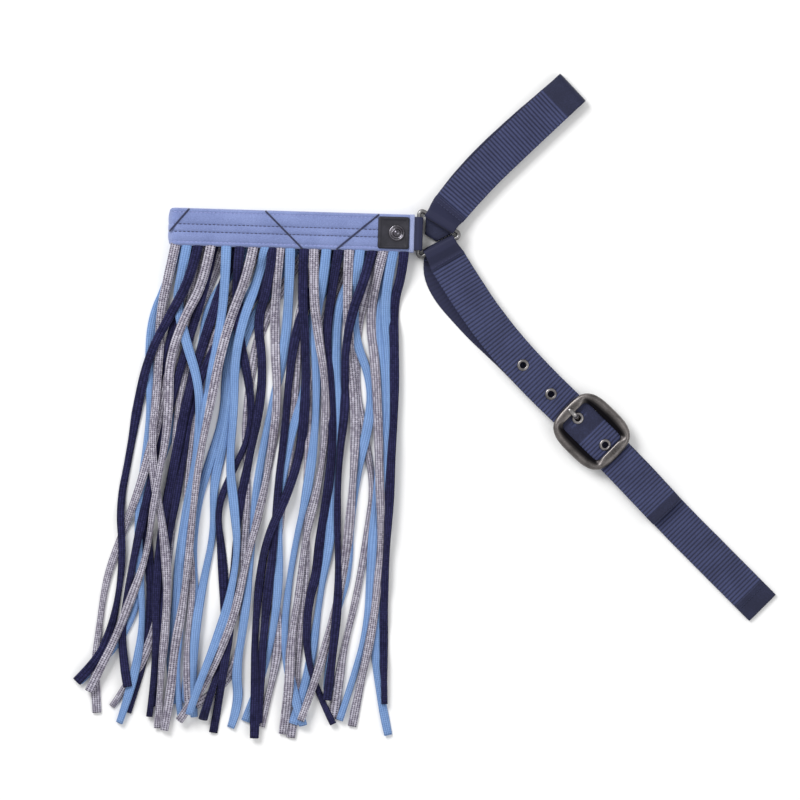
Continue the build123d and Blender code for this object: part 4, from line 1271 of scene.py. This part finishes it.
def badge():
    """A black patch with a raised border, and a plain domed stud on it."""
    centre = BAND_BAR + BAND_ALONG * BADGE_CENTRE
    corners = 12
    loops = (
        (0.0, 0.0), (0.0, 0.0011), (0.0003, 0.0014), (0.0009, 0.0016), (0.0018, 0.0016),
        (0.0024, 0.0014), (0.0028, 0.0010), (0.0034, FIELD_HEIGHT), (0.0090, FIELD_HEIGHT),
    )
    rings = []
    for inset, height in loops:
        ring = []
        half_length, half_height = BADGE_HALF_LENGTH - inset, BADGE_HALF_HEIGHT - inset
        radius = max(BADGE_CORNER - inset * 0.4, 0.0004)
        for quarter, (sx, sy) in enumerate(((1, 1), (-1, 1), (-1, -1), (1, -1))):
            for angle in np.linspace(quarter * math.pi / 2, (quarter + 1) * math.pi / 2, corners):
                x = sx * (half_length - radius) + radius * math.cos(angle)
                v = sy * (half_height - radius) + radius * math.sin(angle)
                plan = centre - BAND_ALONG * x + BAND_UP * v
                ring.append((*plan, BADGE_BASE + height))
        rings.append(ring)
    along = np.linspace(0, 0.015, len(loops))
    piece = skin("badge_plate", rings, along, badge_black, "browband")
    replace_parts(piece, "badge_patch")
    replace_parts(stud(centre - BAND_ALONG * STUD_OFFSET, BADGE_BASE + FIELD_HEIGHT), "badge_stud")


def stud(centre, base):
    """A polished stud: a rolled rim round a low dome."""
    profile = [
        (0.0062, 0.0), (0.0064, 0.0005), (0.0062, 0.0011), (0.0056, 0.0014), (0.0050, 0.0012),
        (0.0046, 0.0006), (0.0036, 0.0004), (0.0032, 0.0006), (0.0028, 0.0014), (0.0022, 0.0020),
        (0.0012, 0.0024), (0.00005, 0.0025), (0.00005, 0.0),
    ]
    return turned("badge_dome", centre, base, profile, stud_metal, "browband", 48)


def buckle_place(u, v, z):
    """The point u along the strap and v across it from the buckle's centre."""
    way = direction(BUCKLE_HEADING)
    plan = BUCKLE_CENTRE + way * u + np.array((-way[1], way[0])) * v
    return (plan[0], plan[1], z)


def rounded_outline(half_length, half_width, power, count):
    """Points round a rectangle with bulging sides and rounded corners."""
    points = []
    for angle in np.linspace(0, 2 * math.pi, count, endpoint=False):
        c, s = math.cos(angle), math.sin(angle)
        reach = (abs(c / half_length) ** power + abs(s / half_width) ** power) ** (-1 / power)
        points.append((c * reach, s * reach))
    return np.array(points)


def buckle_frame():
    """The cast frame: flat end bars, and side rails whose ridge falls away into the window, with painted shade
    on those inner slopes.
    """
    count = 144
    outer = rounded_outline(*FRAME_OUTER, 3.2, count)
    inner = rounded_outline(*FRAME_WINDOW, 9, count)
    end_bar = (
        (0.00, 0.0006), (0.00, 0.0022), (0.015, 0.0029), (0.05, 0.0032), (0.14, 0.0034), (0.50, 0.0035),
        (0.78, 0.0033), (0.90, 0.0028), (0.96, 0.0020), (1.00, 0.0012), (0.985, 0.0004), (0.93, 0.0),
        (0.06, 0.0),
    )
    side_rail = (
        (0.00, 0.0002), (0.02, 0.0007), (0.12, 0.0010), (0.30, 0.0015), (0.46, 0.0023), (0.56, 0.0032),
        (0.70, 0.0036), (0.84, 0.0032), (0.95, 0.0023), (1.00, 0.0012), (0.985, 0.0004), (0.93, 0.0),
        (0.06, 0.0),
    )
    rings, recess_shade_amounts = [], []
    for near, away in zip(inner, outer):
        railward = abs(near[1]) / FRAME_WINDOW[1] - abs(near[0]) / FRAME_WINDOW[0]
        share = float(smoothstep(railward * 1.6 + 0.75))
        profile = np.array(end_bar) * (1 - share) + np.array(side_rail) * share
        rings.append([
            buckle_place(*(near + (away - near) * across), FRAME_BASE + h) for across, h in profile
        ])
        # painted shade: how far each point of the rails' inner slope is darkened
        recess_shade_amounts.append(share * smoothstep((0.62 - profile[:, 0]) / 0.25))
    along = np.linspace(0, 0.17, count + 1)
    piece = skin("frame_casting", rings, along, frame_metal, "buckle", joined=True)
    mark(piece, "recess_shade", recess_shade_amounts)
    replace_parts(piece, "buckle_frame")
    for number, side in enumerate((1, -1), 1):
        lug(f"frame_lug_{number}", side)


def lug(name, side):
    """A rounded lug under the frame that carries one end of the centre bar."""
    middle = side * LUG_MIDDLE
    sizes = ((0.0026, 0.75), (0.0032, 1.0), (0.0075, 1.0), (0.0125, 1.15))
    rings = []
    for height, scale in sizes:
        outline = rounded_outline(0.0035 * scale, 0.0016, 3, 24)
        rings.append([buckle_place(u, middle + v, height) for u, v in outline])
    along = [height for height, _ in sizes]
    piece = skin(name, rings, along, gunmetal, "buckle")
    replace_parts(piece, "buckle_frame")


def prong():
    """A round-backed prong, from its eye on the centre bar, up through an eyelet, over the frame."""
    low, high = BAR_Z + 0.0012, FRAME_TOP + 0.0014
    course = rounded([(-0.0012, low), (-0.0136, low), (-0.0185, high), (-0.0264, high - 0.0001)], 0.003)
    line, along = resample(course, 0.0006)
    centres = np.array([buckle_place(u, 0, z) for u, z in line])
    way = direction(BUCKLE_HEADING)
    across = np.tile((-way[1], way[0], 0.0), (len(centres), 1))
    _, normals = frames_along(centres, across)
    side, up = section(1, 1, 16, 2.4)
    tip = np.sqrt(np.clip((along[-1] - along) / PRONG_POINT, 0.02, 1))
    half_widths = (PRONG_HALF_WIDTH * tip)[:, None, None]
    half_heights = (PRONG_HALF_HEIGHT * tip)[:, None, None]
    rings = (
        centres[:, None] + across[:, None] * side[None, :, None] * half_widths
        + normals[:, None] * up[None, :, None] * half_heights
    )
    piece = skin("prong_pin", rings, along, prong_metal, "buckle_prong")
    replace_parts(piece, "buckle_prong")
    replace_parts(prong_eye(), "buckle_prong")


def prong_eye(sides=28):
    """The prong's closed eye, round the centre bar."""
    profile = ((-0.0015, 0.00155), (-0.0012, 0.0026), (0.0012, 0.0026), (0.0015, 0.00155))
    rings = [
        [buckle_place(r * math.cos(a), v, BAR_Z + r * math.sin(a)) for v, r in profile]
        for a in np.linspace(0, 2 * math.pi, sides, endpoint=False)
    ]
    along = np.linspace(0, 0.012, sides + 1)
    return skin("prong_eye", rings, along, gunmetal, "buckle_prong", joined=True)


def dress_cad_node(node, material):
    """Gives a CAD node that stays in view its finished material."""
    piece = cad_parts[node]
    for place in piece.material_slots:
        place.material = material


set_stage()
fringe()
band_cover()
binding()
band_stitching()
piping()
band_loops()
crown_strap()
eyelet_half()
buckle_half()
eyelets()
badge()
buckle_frame()
prong()
for ring in ("near_ring", "far_ring"):
    dress_cad_node(ring, ring_metal)
dress_cad_node("buckle_bar", gunmetal)
